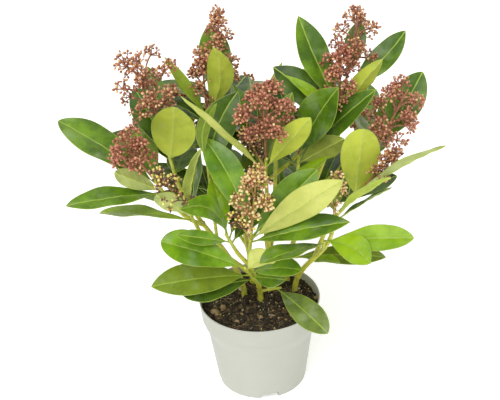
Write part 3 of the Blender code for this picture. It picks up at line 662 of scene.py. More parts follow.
STEMS: tuple[Stem, ...] = (
    Stem("stem_front", (0.001, 0.002), "front"),
    Stem("stem_left", (-0.015, 0.012), "upper_left"),
    Stem("stem_centre", (0.011, 0.018), "centre"),
    Stem("stem_right", (0.036, 0.014), "front_right"),
    Stem("stem_back_left", (-0.006, 0.033), "top_left"),
    Stem("stem_back_right", (0.029, 0.034), "top_right"),
    Stem("stem_rear", (0.012, 0.045), "back"),
)

BOUGHS: tuple[Bough, ...] = (
    Bough("low_left", "stem_front", 0.50),
    Bough("left_low", "stem_front", 0.74, spread=40),
    Bough("left", "stem_left", 0.62),
    Bough("mid_right", "stem_centre", 0.50),
    Bough("inner_left", "stem_back_left", 0.66, spread=40),
    Bough("back_left", "stem_back_left", 0.42),
    Bough("low_right", "stem_right", 0.55),
    Bough("inner_right", "stem_back_right", 0.72, spread=40),
    Bough("right", "stem_back_right", 0.48),
    Bough("far_right", "stem_rear", 0.42),
    Bough("back_right", "stem_rear", 0.66, spread=45),
    Bough("back_middle", "stem_rear", 0.30, spread=40),
)

SIDE_TWIGS: tuple[SideTwig, ...] = (
    SideTwig("front_low", "stem_front", 0.24),
    SideTwig("rim_low", "stem_front", 0.12),
    SideTwig("right_low", "stem_right", 0.70),
    SideTwig("behind_low", "stem_back_right", 0.16),
    SideTwig("mid_left", "stem_left", 0.46),
    SideTwig("low_back_left", "stem_back_left", 0.24),
    SideTwig("low_back_right", "stem_back_right", 0.28),
    SideTwig("low_back", "stem_rear", 0.14),
)

SHOOTS: tuple[Shoot, ...] = (
    Shoot("front", (-0.006, -0.040, 0.188), -50, 81, (
        Leaf(128, 50, 0.100, 0.30, 12, -24, Tint.BRIGHT, 16, 0.75, sway=0.05),
        Leaf(-12, 39, 0.112, 0.27, 14, -95, Tint.PALE, 10, 0.9),
        Leaf(17, 41, 0.089, 0.36, 12, 50, Tint.MID, 12),
        Leaf(33, 33, 0.110, 0.29, 26, -20, Tint.LIME, 16),
        Leaf(-7, 15, 0.096, 0.30, 18, 22, Tint.MID, 14, 0.9, seat=-0.005),
    ), (), Spray(0.028, 0.060, 0.023, 10, -50, 81, Bloom.CREAM, 6), 17, side_sprays=(
        Spray(0.030, 0.018, 0.008, 3, -160, 62, Bloom.GOLDEN, 4, fullness=0.0),
    )),
    Shoot("front_low", (-0.008, -0.030, 0.140), -100, 62, (
        Leaf(-176, 26, 0.085, 0.40, 22, -36, Tint.BRIGHT, 12, 0.55, seat=0.026),
        Leaf(-158, 10, 0.101, 0.33, 26, -34, Tint.OLIVE, 12, 0.8, seat=-0.001),
        Leaf(-146, 12, 0.083, 0.36, 20, -30, Tint.DEEP, 12, 0.55, seat=-0.018),
        Leaf(-30, 19, 0.060, 0.36, 12, 26, Tint.BRIGHT, 14, 0.7, sway=-0.05, seat=0.008),
        Leaf(-40, 17, 0.043, 0.46, 12, 40, Tint.MID, seat=-0.007),
        Leaf(-36, 46, 0.042, 0.62, 10, -60, Tint.PALE, 10, 0.6, seat=0.020),
    ), (), None, 25, (-0.014, 0.026)),
    Shoot("right_low", (0.062, -0.046, 0.184), -60, 60, (
        Leaf(-44, -2, 0.054, 0.50, 16, 30, Tint.LIME, 12, 0.75, sway=-0.10, seat=0.006),
        Leaf(-18, 11, 0.085, 0.30, 16, 40, Tint.LIME, 12, 0.7),
    ), (-160, -130, 1, 4), None, 24),
    Shoot("left_low", (-0.027, -0.034, 0.185), 200, 66, (
        Leaf(-147, 46, 0.072, 0.32, 30, -55, Tint.BRIGHT, 14, 0.8, sway=0.20),
        Leaf(-147, 28, 0.065, 0.22, 12, -60, Tint.BRIGHT, 12, seat=-0.005),
        Leaf(110, 54, 0.056, 0.38, 10, 10, Tint.LIME, 12),
    ), (36, 76, 2, 16), None, 26),
    Shoot("rim_low", (0.017, -0.014, 0.112), -60, 40, (
        Leaf(-56, -5, 0.081, 0.34, 26, 22, Tint.GREY, 12, 0.65, seat=0.0),
    ), (), None, 37),
    Shoot("centre", (0.011, 0.000, 0.238), 90, 86, (
        Leaf(109, 33, 0.105, 0.34, 10, 29, Tint.MID, 16, 0.95),
        Leaf(-166, 50, 0.118, 0.15, -6, 30, Tint.PALE, 20, 1.0),
        Leaf(84, 38, 0.094, 0.40, 12, -24, Tint.DEEP, 10, 0.75),
        Leaf(50, 54, 0.073, 0.29, 12, 10, Tint.OLIVE, 12, 0.85),
        Leaf(-25, 53, 0.077, 0.32, 10, -78, Tint.LIME, 16, 0.9),
        Leaf(99, 40, 0.100, 0.22, 18, 60, Tint.GREY),
    ), (140, 170, 1, 5), Spray(0.042, 0.050, 0.031, 11, 90, 90, Bloom.ROSY, 8, 0.80, 0.7), 16, side_sprays=(
        Spray(0.026, 0.034, 0.013, 5, 180, 65, Bloom.GOLDEN, 5, fullness=0.4),
    )),
    Shoot("upper_left", (-0.079, 0.015, 0.247), 139, 74, (
        Leaf(-66, 73, 0.069, 0.62, 14, -34, Tint.LIME, 8, 0.70, base=0.62, seat=-0.003),
        Leaf(114, 12, 0.085, 0.38, tint=Tint.DEEP),
        Leaf(105, 38, 0.100, 0.34, 10, 35, Tint.MID),
    ), (60, 140, 2, 16), Spray(0.046, 0.070, 0.034, 13, 150, 75, Bloom.RUSSET, 6, 0.78, 0.6), 11),
    Shoot("left", (-0.090, -0.020, 0.239), 198, 64, (
        Leaf(156, 27, 0.112, 0.35, 14, -10, Tint.MID, 12, 0.72),
        Leaf(-158, 36, 0.055, 0.32, 14, 106, Tint.GREY, 8, 0.7, seat=-0.010),
        Leaf(-166, 3, 0.092, 0.27, 18, -18, Tint.MID, 14, seat=-0.013),
    ), (70, 120, 2, 4), Spray(0.032, 0.036, 0.022, 9, 190, 58, Bloom.ROSY, 7, 0.70, 0.25), 12),
    Shoot("low_left", (-0.060, -0.040, 0.215), 226, 66, (
        Leaf(158, -5, 0.098, 0.26, 14, 7, Tint.PALE, 14, 0.55),
        Leaf(-146, 46, 0.050, 0.42, 10, 60, Tint.GREY, 8, 0.7),
        Leaf(-48, 74, 0.080, 0.26, 24, 16, Tint.OLIVE, 20),
        Leaf(91, 18, 0.085, 0.34, 10, -50, Tint.DEEP),
    ), (), Spray(0.022, 0.050, 0.018, 8, 208, 60, Bloom.GOLDEN, 4, fullness=0.2), 13),
    Shoot("low_right", (0.090, -0.020, 0.213), -20, 52, (
        Leaf(-23, 40, 0.115, 0.24, 16, -22, Tint.GREY, 22, 0.95),
        Leaf(-52, 81, 0.078, 0.46, 12, -44, Tint.LIME, 8, 0.55, base=0.75),
        Leaf(80, 6, 0.075, 0.34, tint=Tint.DEEP),
    ), (), Spray(0.042, 0.032, 0.014, 6, -12, 54, Bloom.RUSSET, 6), 21),
    Shoot("mid_right", (0.043, 0.030, 0.230), 60, 80, (
        Leaf(-22, 63, 0.088, 0.44, 12, 66, Tint.MID, 18, 0.9, sway=-0.03),
        Leaf(-12, 46, 0.106, 0.26, 14, 40, Tint.MID, 14, 0.9),
        Leaf(-30, 38, 0.062, 0.40, 12, -80, Tint.OLIVE, 12, 0.9),
        Leaf(120, 12, 0.078, 0.34, tint=Tint.DEEP),
    ), (), Spray(0.024, 0.030, 0.013, 5, 40, 80, Bloom.SHADED, 5), 23),
    Shoot("inner_right", (0.083, 0.035, 0.277), 80, 84, (
        Leaf(139, 60, 0.095, 0.32, 12, -24, Tint.MID, 14, 0.9, sway=-0.03),
        Leaf(168, 38, 0.064, 0.18, 16, -40, Tint.LIME, 20, 1.0),
        Leaf(-12, 55, 0.070, 0.27, 12, -70, Tint.LIME, 16, 0.95),
        Leaf(156, 34, 0.080, 0.40, 14, -40, Tint.DEEP, 12, 0.9),
    ), (-60, -20, 1, 2), Spray(0.013, 0.056, 0.022, 10, 80, 84, Bloom.ROSY, 8, crown=0.84), 19),
    Shoot("top_left", (-0.028, 0.060, 0.283), 92, 78, (
        Leaf(105, 62, 0.070, 0.44, 10, -6, Tint.MID, 12, 0.95),
        Leaf(70, 0, 0.070, 0.36, 12, 10, Tint.DEEP),
        Leaf(150, 0, 0.080, 0.34, tint=Tint.DEEP),
    ), (30, 120, 2, -12), Spray(0.016, 0.078, 0.022, 10, 90, 80, Bloom.RUSSET, 7), 14),
    Shoot("inner_left", (-0.042, 0.045, 0.272), 120, 80, (
        Leaf(-50, 78, 0.076, 0.34, 12, -40, Tint.LIME, 14, 0.9, sway=-0.12),
        Leaf(176, 60, 0.074, 0.15, 14, -60, Tint.PALE, 14, 1.0),
        Leaf(176, 16, 0.080, 0.34, tint=Tint.DEEP),
        Leaf(130, 2, 0.075, 0.36, tint=Tint.DEEP),
    ), (), Spray(0.020, 0.054, 0.016, 7, 120, 86, Bloom.RUSSET, 8, crown=0.84), 15),
    Shoot("right", (0.116, 0.020, 0.241), 12, 70, (
        Leaf(43, 41, 0.086, 0.38, 12, 30, Tint.MID, 12, 0.8, sway=0.02),
        Leaf(64, 36, 0.075, 0.34, 12, -38, Tint.MID, 12),
        Leaf(107, 22, 0.060, 0.36, 10, 37, Tint.GREY, 10),
        Leaf(70, 0, 0.052, 0.38, tint=Tint.MID),
    ), (), Spray(0.016, 0.062, 0.029, 11, 10, 63, Bloom.ROSY, 8, 0.78, 0.3), 20),
    Shoot("top_right", (0.091, 0.060, 0.296), 43, 74, (
        Leaf(28, 32, 0.082, 0.31, 12, 30, Tint.MID, 18, 0.9, sway=0.07),
        Leaf(60, 56, 0.056, 0.36, 10, 20, Tint.GREY),
    ), (70, 150, 2, -22), Spray(0.024, 0.054, 0.028, 9, 43, 74, Bloom.RUSSET, 7, 0.86, 0.2), 18),
    Shoot("front_right", (0.072, -0.035, 0.205), -70, 78, (
        Leaf(-90, 74, 0.040, 0.50, 10, 20, Tint.OLIVE, 14),
        Leaf(-24, 44, 0.075, 0.26, 14, -33, Tint.BRIGHT, 18),
        Leaf(44, 16, 0.070, 0.20, 10, -30, Tint.DEEP),
        Leaf(128, 30, 0.080, 0.30, tint=Tint.GREY),
    ), (), Spray(0.012, 0.040, 0.014, 6, -70, 80, Bloom.CREAM, 4), 22),
    Shoot("behind_low", (0.038, 0.022, 0.124), -30, 50, (
        Leaf(-22, 11, 0.097, 0.27, 16, 20, Tint.OLIVE, 12),
        Leaf(-38, 14, 0.052, 0.24, 12, 10, Tint.LIME, 20),
    ), (), None, 32),
    Shoot("mid_left", (-0.044, 0.000, 0.250), 180, 70, (
        Leaf(44, 62, 0.080, 0.42, 10, 40, Tint.DEEP, 14, 0.95, sway=-0.08),
        Leaf(30, 76, 0.058, 0.22, 16, 50, Tint.OLIVE, 22, 0.9, sway=-0.14),
        Leaf(70, 30, 0.060, 0.38, 12, 10, Tint.DEEP),
        Leaf(152, 8, 0.070, 0.36, 12, 10, Tint.DEEP),
        Leaf(100, 4, 0.066, 0.36, 12, 0, Tint.DEEP),
    ), (), None, 33, (-0.048, 0.000)),
    Shoot("back", (0.000, 0.125, 0.215), 100, 66, (
        Leaf(14, 67, 0.082, 0.10, 34, 60, Tint.PALE, 20, 0.8, curl=0.10, seat=-0.006),
    ), (-10, 300, 7, 0), Spray(0.018, 0.042, 0.020, 6, 100, 72, Bloom.RUSSET, 7), 27),
    Shoot("back_left", (-0.062, 0.098, 0.222), 130, 64, (), (-10, 290, 7, 3),
          Spray(0.018, 0.040, 0.019, 6, 130, 70, Bloom.ROSY, 7), 28),
    Shoot("back_right", (0.058, 0.118, 0.225), 65, 66, (), (-10, 300, 7, -3),
          Spray(0.018, 0.040, 0.020, 6, 65, 72, Bloom.ROSY, 7), 29),
    Shoot("far_right", (0.102, 0.085, 0.220), 35, 62, (), (48, 112, 4, -2),
          Spray(0.016, 0.036, 0.018, 6, 130, 66, Bloom.RUSSET, 7), 30),
    Shoot("back_middle", (0.022, 0.080, 0.225), 90, 80, (), (0, 300, 5, 8),
          Spray(0.016, 0.034, 0.016, 4, 90, 84, Bloom.SHADED, 6), 31),
    Shoot("low_back_left", (-0.034, 0.052, 0.168), 150, 50, (), (85, 175, 5, 8), None, 34),
    Shoot("low_back_right", (0.062, 0.050, 0.170), 10, 50, (), (5, 130, 5, 6), None, 35),
    Shoot("low_back", (0.028, 0.108, 0.150), 60, 50, (), (-10, 125, 5, 4), None, 36),
)


# Directions, curves and meshes

def heading(bearing: float, rise: float) -> Array:
    """Return the unit vector at a bearing and a rise in degrees."""
    level = math.cos(math.radians(rise))
    turn = math.radians(bearing)
    return np.array((level * math.cos(turn), level * math.sin(turn), math.sin(math.radians(rise))))


def unit(line: Array) -> Array:
    """Return a vector, or rows of them, at length one."""
    return line / np.maximum(np.linalg.norm(line, axis=-1, keepdims=True), 1e-12)


def square_to(line: Array) -> Array:
    """Return a unit vector square to a line, as upright as it can be."""
    guide = np.array((0.0, 0.0, 1.0)) if abs(line[2]) < 0.999 else np.array((0.0, 1.0, 0.0))
    return unit(guide - line * guide.dot(line))


def along_curve(start: Array, start_way: Array, end: Array, end_way: Array, steps: int) -> Array:
    """Return points on a smooth curve that leaves and arrives in the given directions.

    Args:
        start: The first point.
        start_way: The direction in which the curve leaves it.
        end: The last point.
        end_way: The direction in which the curve arrives.
        steps: The number of stretches.

    Returns:
        One row for each point.
    """
    reach = np.linalg.norm(end - start)
    t = np.linspace(0, 1, steps + 1)[:, None]
    return (start * (2 * t**3 - 3 * t**2 + 1) + start_way * reach * (t**3 - 2 * t**2 + t)
            + end * (3 * t**2 - 2 * t**3) + end_way * reach * (t**3 - t**2))


def frames_along(points: Array) -> tuple[Array, Array]:
    """Carry a pair of square directions along a path without letting them spin.

    Args:
        points: The path, one row for each point.

    Returns:
        Two arrays of unit vectors, square to the path and to each other.
    """
    ways = unit(np.gradient(points, axis=0))
    first = np.empty_like(points)
    first[0] = square_to(ways[0])
    for index in range(1, len(points)):
        carried = first[index - 1] - ways[index] * first[index - 1].dot(ways[index])
        first[index] = unit(carried)
    return first, np.cross(ways, first)


def tube(points: Array, radii: Array, sides: int, relief: Optional[Array] = None) -> "Shape":
    """Return a closed tube along a path.

    Args:
        points: The path, one row for each point.
        radii: The radius at each point.
        sides: The number of sides.
        relief: An optional factor on the radius for each point and side.

    Returns:
        The tube, with a fan of faces at each end.
    """
    first, second = frames_along(points)
    turn = np.linspace(0, 2 * np.pi, sides, endpoint=False)
    reach = np.broadcast_to(radii[:, None], (len(points), sides))
    if relief is not None:
        reach = reach * relief
    ring = first[:, None] * np.cos(turn)[None, :, None] + second[:, None] * np.sin(turn)[None, :, None]
    corners = (points[:, None] + ring * reach[..., None]).reshape(-1, 3)
    quads = grid_faces(len(points), sides)
    ends = np.array((0, (len(points) - 1) * sides))
    index = np.arange(sides)
    after = (index + 1) % sides
    centres = len(corners)
    caps = np.concatenate((
        np.stack((np.full(sides, centres), ends[0] + after, ends[0] + index), 1),
        np.stack((np.full(sides, centres + 1), ends[1] + index, ends[1] + after), 1),
    ))
    corners = np.concatenate((corners, points[:1], points[-1:]))
    return Shape(corners, (quads, caps))


def grid_faces(rows: int, columns: int) -> Array:
    """Return the faces between rings that close on themselves."""
    row = np.arange(rows - 1)[:, None] * columns
    column = np.arange(columns)[None, :]
    after = (column + 1) % columns
    return np.stack((row + column, row + after, row + columns + after, row + columns + column),
                    -1).reshape(-1, 4)


@dataclass
class Shape:
    """Corners and faces of one solid, before it joins a piece."""

    corners: Array
    faces: tuple[Array, ...]

    def scattered(self, places: Array, axes: Array, sizes: Array, spins: Array) -> "Shape":
        """Repeat the solid at many places.

        Args:
            places: Where each copy stands.
            axes: Where each copy's own +Z points.
            sizes: The scale of each copy.
            spins: The turn of each copy about its axis, in radians.

        Returns:
            All copies as one shape, one after another.
        """
        up = unit(axes)
        guide = np.where(np.abs(up[:, 2:3]) < 0.9, np.array([[0.0, 0.0, 1.0]]), np.array([[1.0, 0.0, 0.0]]))
        right = unit(np.cross(guide, up))
        ahead = np.cross(up, right)
        cosine, sine = np.cos(spins)[:, None], np.sin(spins)[:, None]
        across = right * cosine + ahead * sine
        along = ahead * cosine - right * sine
        local = self.corners[None] * sizes[:, None, None]
        placed = (places[:, None] + across[:, None] * local[..., 0:1] + along[:, None] * local[..., 1:2]
                  + up[:, None] * local[..., 2:3])
        count = len(places)
        shift = (np.arange(count) * len(self.corners))[:, None, None]
        faces = tuple((block[None] + shift).reshape(-1, block.shape[1]) for block in self.faces)
        return Shape(placed.reshape(-1, 3), faces)


class Pile:
    """Gathers solids until they become one piece."""

    def __init__(self, name: str, finishes: Sequence[bpy.types.Material]) -> None:
        """Start an empty pile for a piece with the given materials."""
        self.name = name
        self.finishes = list(finishes)
        self.corners: list[Array] = []
        self.blocks: list[tuple[Array, Array]] = []
        self.count = 0

    def add(self, shape: Shape, slots: Union[int, Sequence[Union[int, Array]]]) -> None:
        """Add a solid.

        Args:
            shape: The solid.
            slots: The material's number, or one number or array for each block of faces.
        """
        if isinstance(slots, int):
            slots = [slots] * len(shape.faces)
        for faces, slot in zip(shape.faces, slots):
            numbers = np.broadcast_to(np.asarray(slot, dtype=np.int32), (len(faces),))
            self.blocks.append((faces + self.count, numbers))
        self.corners.append(shape.corners)
        self.count += len(shape.corners)

    def triangles(self) -> int:
        """Return the number of triangles so far."""
        return sum(len(faces) * (faces.shape[1] - 2) for faces, _ in self.blocks)

    def make(self, slot: str, replaced: Iterable[str] = ()) -> bpy.types.Object:
        """Turn the pile into a piece that rides on the plant's body.

        Args:
            slot: The record's material slot; not used.
            replaced: The nodes that the piece stands for.

        Returns:
            The piece.
        """
        mesh = bpy.data.meshes.new(self.name)
        corners = np.concatenate(self.corners).astype(np.float32)
        mesh.vertices.add(len(corners))
        mesh.vertices.foreach_set("co", corners.ravel())
        loops = np.concatenate([faces.ravel() for faces, _ in self.blocks]).astype(np.int32)
        totals = np.concatenate([np.full(len(faces), faces.shape[1]) for faces, _ in self.blocks])
        starts = np.concatenate(((0,), np.cumsum(totals)[:-1])).astype(np.int32)
        numbers = np.concatenate([numbers for _, numbers in self.blocks]).astype(np.int32)
        mesh.loops.add(len(loops))
        mesh.loops.foreach_set("vertex_index", loops)
        mesh.polygons.add(len(totals))
        mesh.polygons.foreach_set("loop_start", starts)
        mesh.polygons.foreach_set("material_index", numbers)
        mesh.polygons.foreach_set("use_smooth", np.ones(len(totals), dtype=bool))
        for finish in self.finishes:
            mesh.materials.append(finish)
        mesh.update(calc_edges=True)
        piece = bpy.data.objects.new(self.name, mesh)
        bpy.context.scene.collection.objects.link(piece)
        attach(piece, BODY)
        nodes = list(replaced)
        if nodes:
            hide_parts(*nodes)
        LOG.info("%s: %d triangles, stands for %d nodes", self.name, self.triangles(), len(nodes))
        return piece


# Limbs

@dataclass
class Limb:
    """A stem's or bough's fine centre line with its radii."""

    name: str
    points: Array
    radii: Array

    def at(self, share: float) -> tuple[Array, Array]:
        """Return the point and the heading at a share of the limb's run."""
        place = share * (len(self.points) - 1)
        index = min(int(place), len(self.points) - 2)
        low, high = self.points[index], self.points[index + 1]
        return low + (high - low) * (place - index), unit(high - low)


@dataclass
class Framework:
    """The stems and boughs, with their taper, flare and bark."""

    stem_radius: float = 0.0027
    stem_tip: float = 0.0019
    bough_radius: float = 0.0022
    bough_tip: float = 0.0018
    flare: float = 1.2
    flare_height: float = 0.006
    steps: int = 60
    sides: int = 14
    node_spacing: float = 0.016   # between the scars of fallen leaves
    scar_swell: float = 0.13      # how far a scar stands out, as a share of the radius
    ridge: float = 0.035          # how far the fine ridges stand out
    sunk: float = 0.002           # how far a stem reaches into the soil
    limbs: dict[str, Limb] = field(default_factory=dict)

    def lay(self, shoots: dict[str, Shoot]) -> None:
        """Lay every stem and bough by the rule of the solids.

        Args:
            shoots: The shoots by name, which say where limbs end.
        """
        for stem in STEMS:
            self.limbs[stem.name] = self.lay_stem(stem, shoots[stem.shoot])
        for bough in BOUGHS:
            limb = self.lay_bough(bough, shoots[bough.shoot], self.limbs[bough.stem])
            self.limbs[limb.name] = limb

    def lay_stem(self, stem: Stem, shoot: Shoot) -> Limb:
        """Lay a stem from its flat cut on the soil to just under its shoot.

        Args:
            stem: The stem.
            shoot: The shoot at its end.

        Returns:
            Its line.
        """
        foot = np.array((*stem.foot, SOIL_TOP + GAP))
        start = foot + np.array((0, 0, self.flare_height))
        way = heading(shoot.bearing, shoot.rise)
        end = shoot_foot(shoot)
        upright = unit(np.array((0, 0, stem.sway)) + unit(end - start) * 0.4)
        run = along_curve(start, upright, end, way, self.steps)
        points = np.concatenate(((foot - (0, 0, self.sunk), foot, (foot + start) / 2), run))
        taper = np.linspace(self.stem_radius, self.stem_tip, self.steps + 1)
        base = self.stem_radius
        flared = (base * self.flare * 1.05, base * self.flare, base * (1 + self.flare) / 2)
        return Limb(stem.name, points, np.concatenate((flared, taper)))

    def lay_bough(self, bough: Bough, shoot: Shoot, stem: Limb) -> Limb:
        """Lay a bough from inside a stem's side to just under its shoot.

        Args:
            bough: The bough.
            shoot: The shoot at its end.
            stem: The stem that it leaves.

        Returns:
            Its line.
        """
        root, stem_way = stem.at(bough.leaves_at)
        way = heading(shoot.bearing, shoot.rise)
        end = shoot_foot(shoot)
        aside = end - root
        aside = unit(aside - stem_way * aside.dot(stem_way))
        spread = math.radians(bough.spread)
        start_way = stem_way * math.cos(spread) + aside * math.sin(spread)
        points = along_curve(root, start_way, end, way, self.steps)
        taper = np.linspace(self.bough_radius, self.bough_tip, self.steps + 1)
        collar = 1 + 0.35 * np.exp(-np.linspace(0, 12, self.steps + 1))
        return Limb(f"bough_{bough.shoot}", points, taper * collar)

    def bark_relief(self, limb: Limb, draw: np.random.Generator) -> Array:
        """Return the factor on a limb's radius that makes ridges and leaf scars.

        Args:
            limb: The limb.
            draw: The limb's own random numbers.

        Returns:
            One row for each point and one column for each side.
        """
        turn = np.linspace(0, 2 * np.pi, self.sides, endpoint=False)
        run = np.concatenate(((0,), np.cumsum(np.linalg.norm(np.diff(limb.points, axis=0), axis=1))))
        relief = np.ones((len(run), self.sides))
        phase = draw.uniform(0, 6.28, 3)
        for waves, depth, swing in ((3, 1.0, 60), (5, 0.7, 110), (7, 0.4, 160)):
            ripple = np.sin(waves * turn[None] + phase[waves % 3] + np.sin(run[:, None] * swing) * 0.8)
            relief += self.ridge * depth * ripple
        place = self.node_spacing * draw.uniform(0.4, 1.0)
        side = draw.uniform(0, 6.28)
        while place < run[-1]:
            ring = np.exp(-((run - place) / 0.0014) ** 2)[:, None]
            facing = 0.35 + 0.65 * np.maximum(0, np.cos(turn - side))[None] ** 2
            relief += self.scar_swell * ring * facing
            dent = np.exp(-((run - place - 0.0024) / 0.0012) ** 2)[:, None]
            relief -= self.scar_swell * 0.35 * dent * facing
            place += self.node_spacing * draw.uniform(0.7, 1.3)
            side += math.radians(GOLDEN_ANGLE)
        return relief

    def make(self) -> bpy.types.Object:
        """Build the piece that stands for all stems and boughs."""
        pile = Pile("stems_and_boughs", [StemBark().make()])
        for number, limb in enumerate(self.limbs.values()):
            relief = self.bark_relief(limb, np.random.default_rng(100 + number))
            pile.add(tube(limb.points, limb.radii, self.sides, relief), 0)
        return pile.make("stem_bark", self.limbs)


def shoot_foot(shoot: Shoot) -> Array:
    """Return where a shoot's own stem starts."""
    return np.array(shoot.whorl) - heading(shoot.bearing, shoot.rise) * SHOOT_FOOT


# Room between the masses

class Room:
    """Tests a leaf's outline against the solids of the other masses and of the limbs."""

    def __init__(self) -> None:
        """Read the solids of the frame, apart from the pot and the soil."""
        self.trees: dict[str, tuple[BVHTree, Array, Array]] = {}
        for name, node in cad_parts.items():
            if name in ("pot", "soil"):
                continue
            mesh = node.data
            corners = [corner.co.copy() for corner in mesh.vertices]
            faces = [tuple(face.vertices) for face in mesh.polygons]
            spots = np.array(corners)
            self.trees[name] = (BVHTree.FromPolygons(corners, faces), spots.min(0), spots.max(0))

    def clear(self, node: str, shape: Shape) -> bool:
        """Tell whether a solid keeps off every other node.

        Args:
            node: The node that the solid belongs to.
            shape: The solid.

        Returns:
            True where it meets none.
        """
        low, high = shape.corners.min(0), shape.corners.max(0)
        faces = [tuple(int(corner) for corner in face) for block in shape.faces for face in block]
        own = None
        for name, (other, other_low, other_high) in self.trees.items():
            if name == node or np.any(low > other_high) or np.any(high < other_low):
                continue
            own = own or BVHTree.FromPolygons([Vector(corner) for corner in shape.corners], faces)
            if own.overlap(other):
                return False
        return True

    def clear_ball(self, node: str, centre: Array, radius: float) -> bool:
        """Tell whether a ball keeps off every other node."""
        for name, (other, _, _) in self.trees.items():
            if name != node and other.find_nearest(Vector(centre), radius)[0] is not None:
                return False
        return True


# Leaves

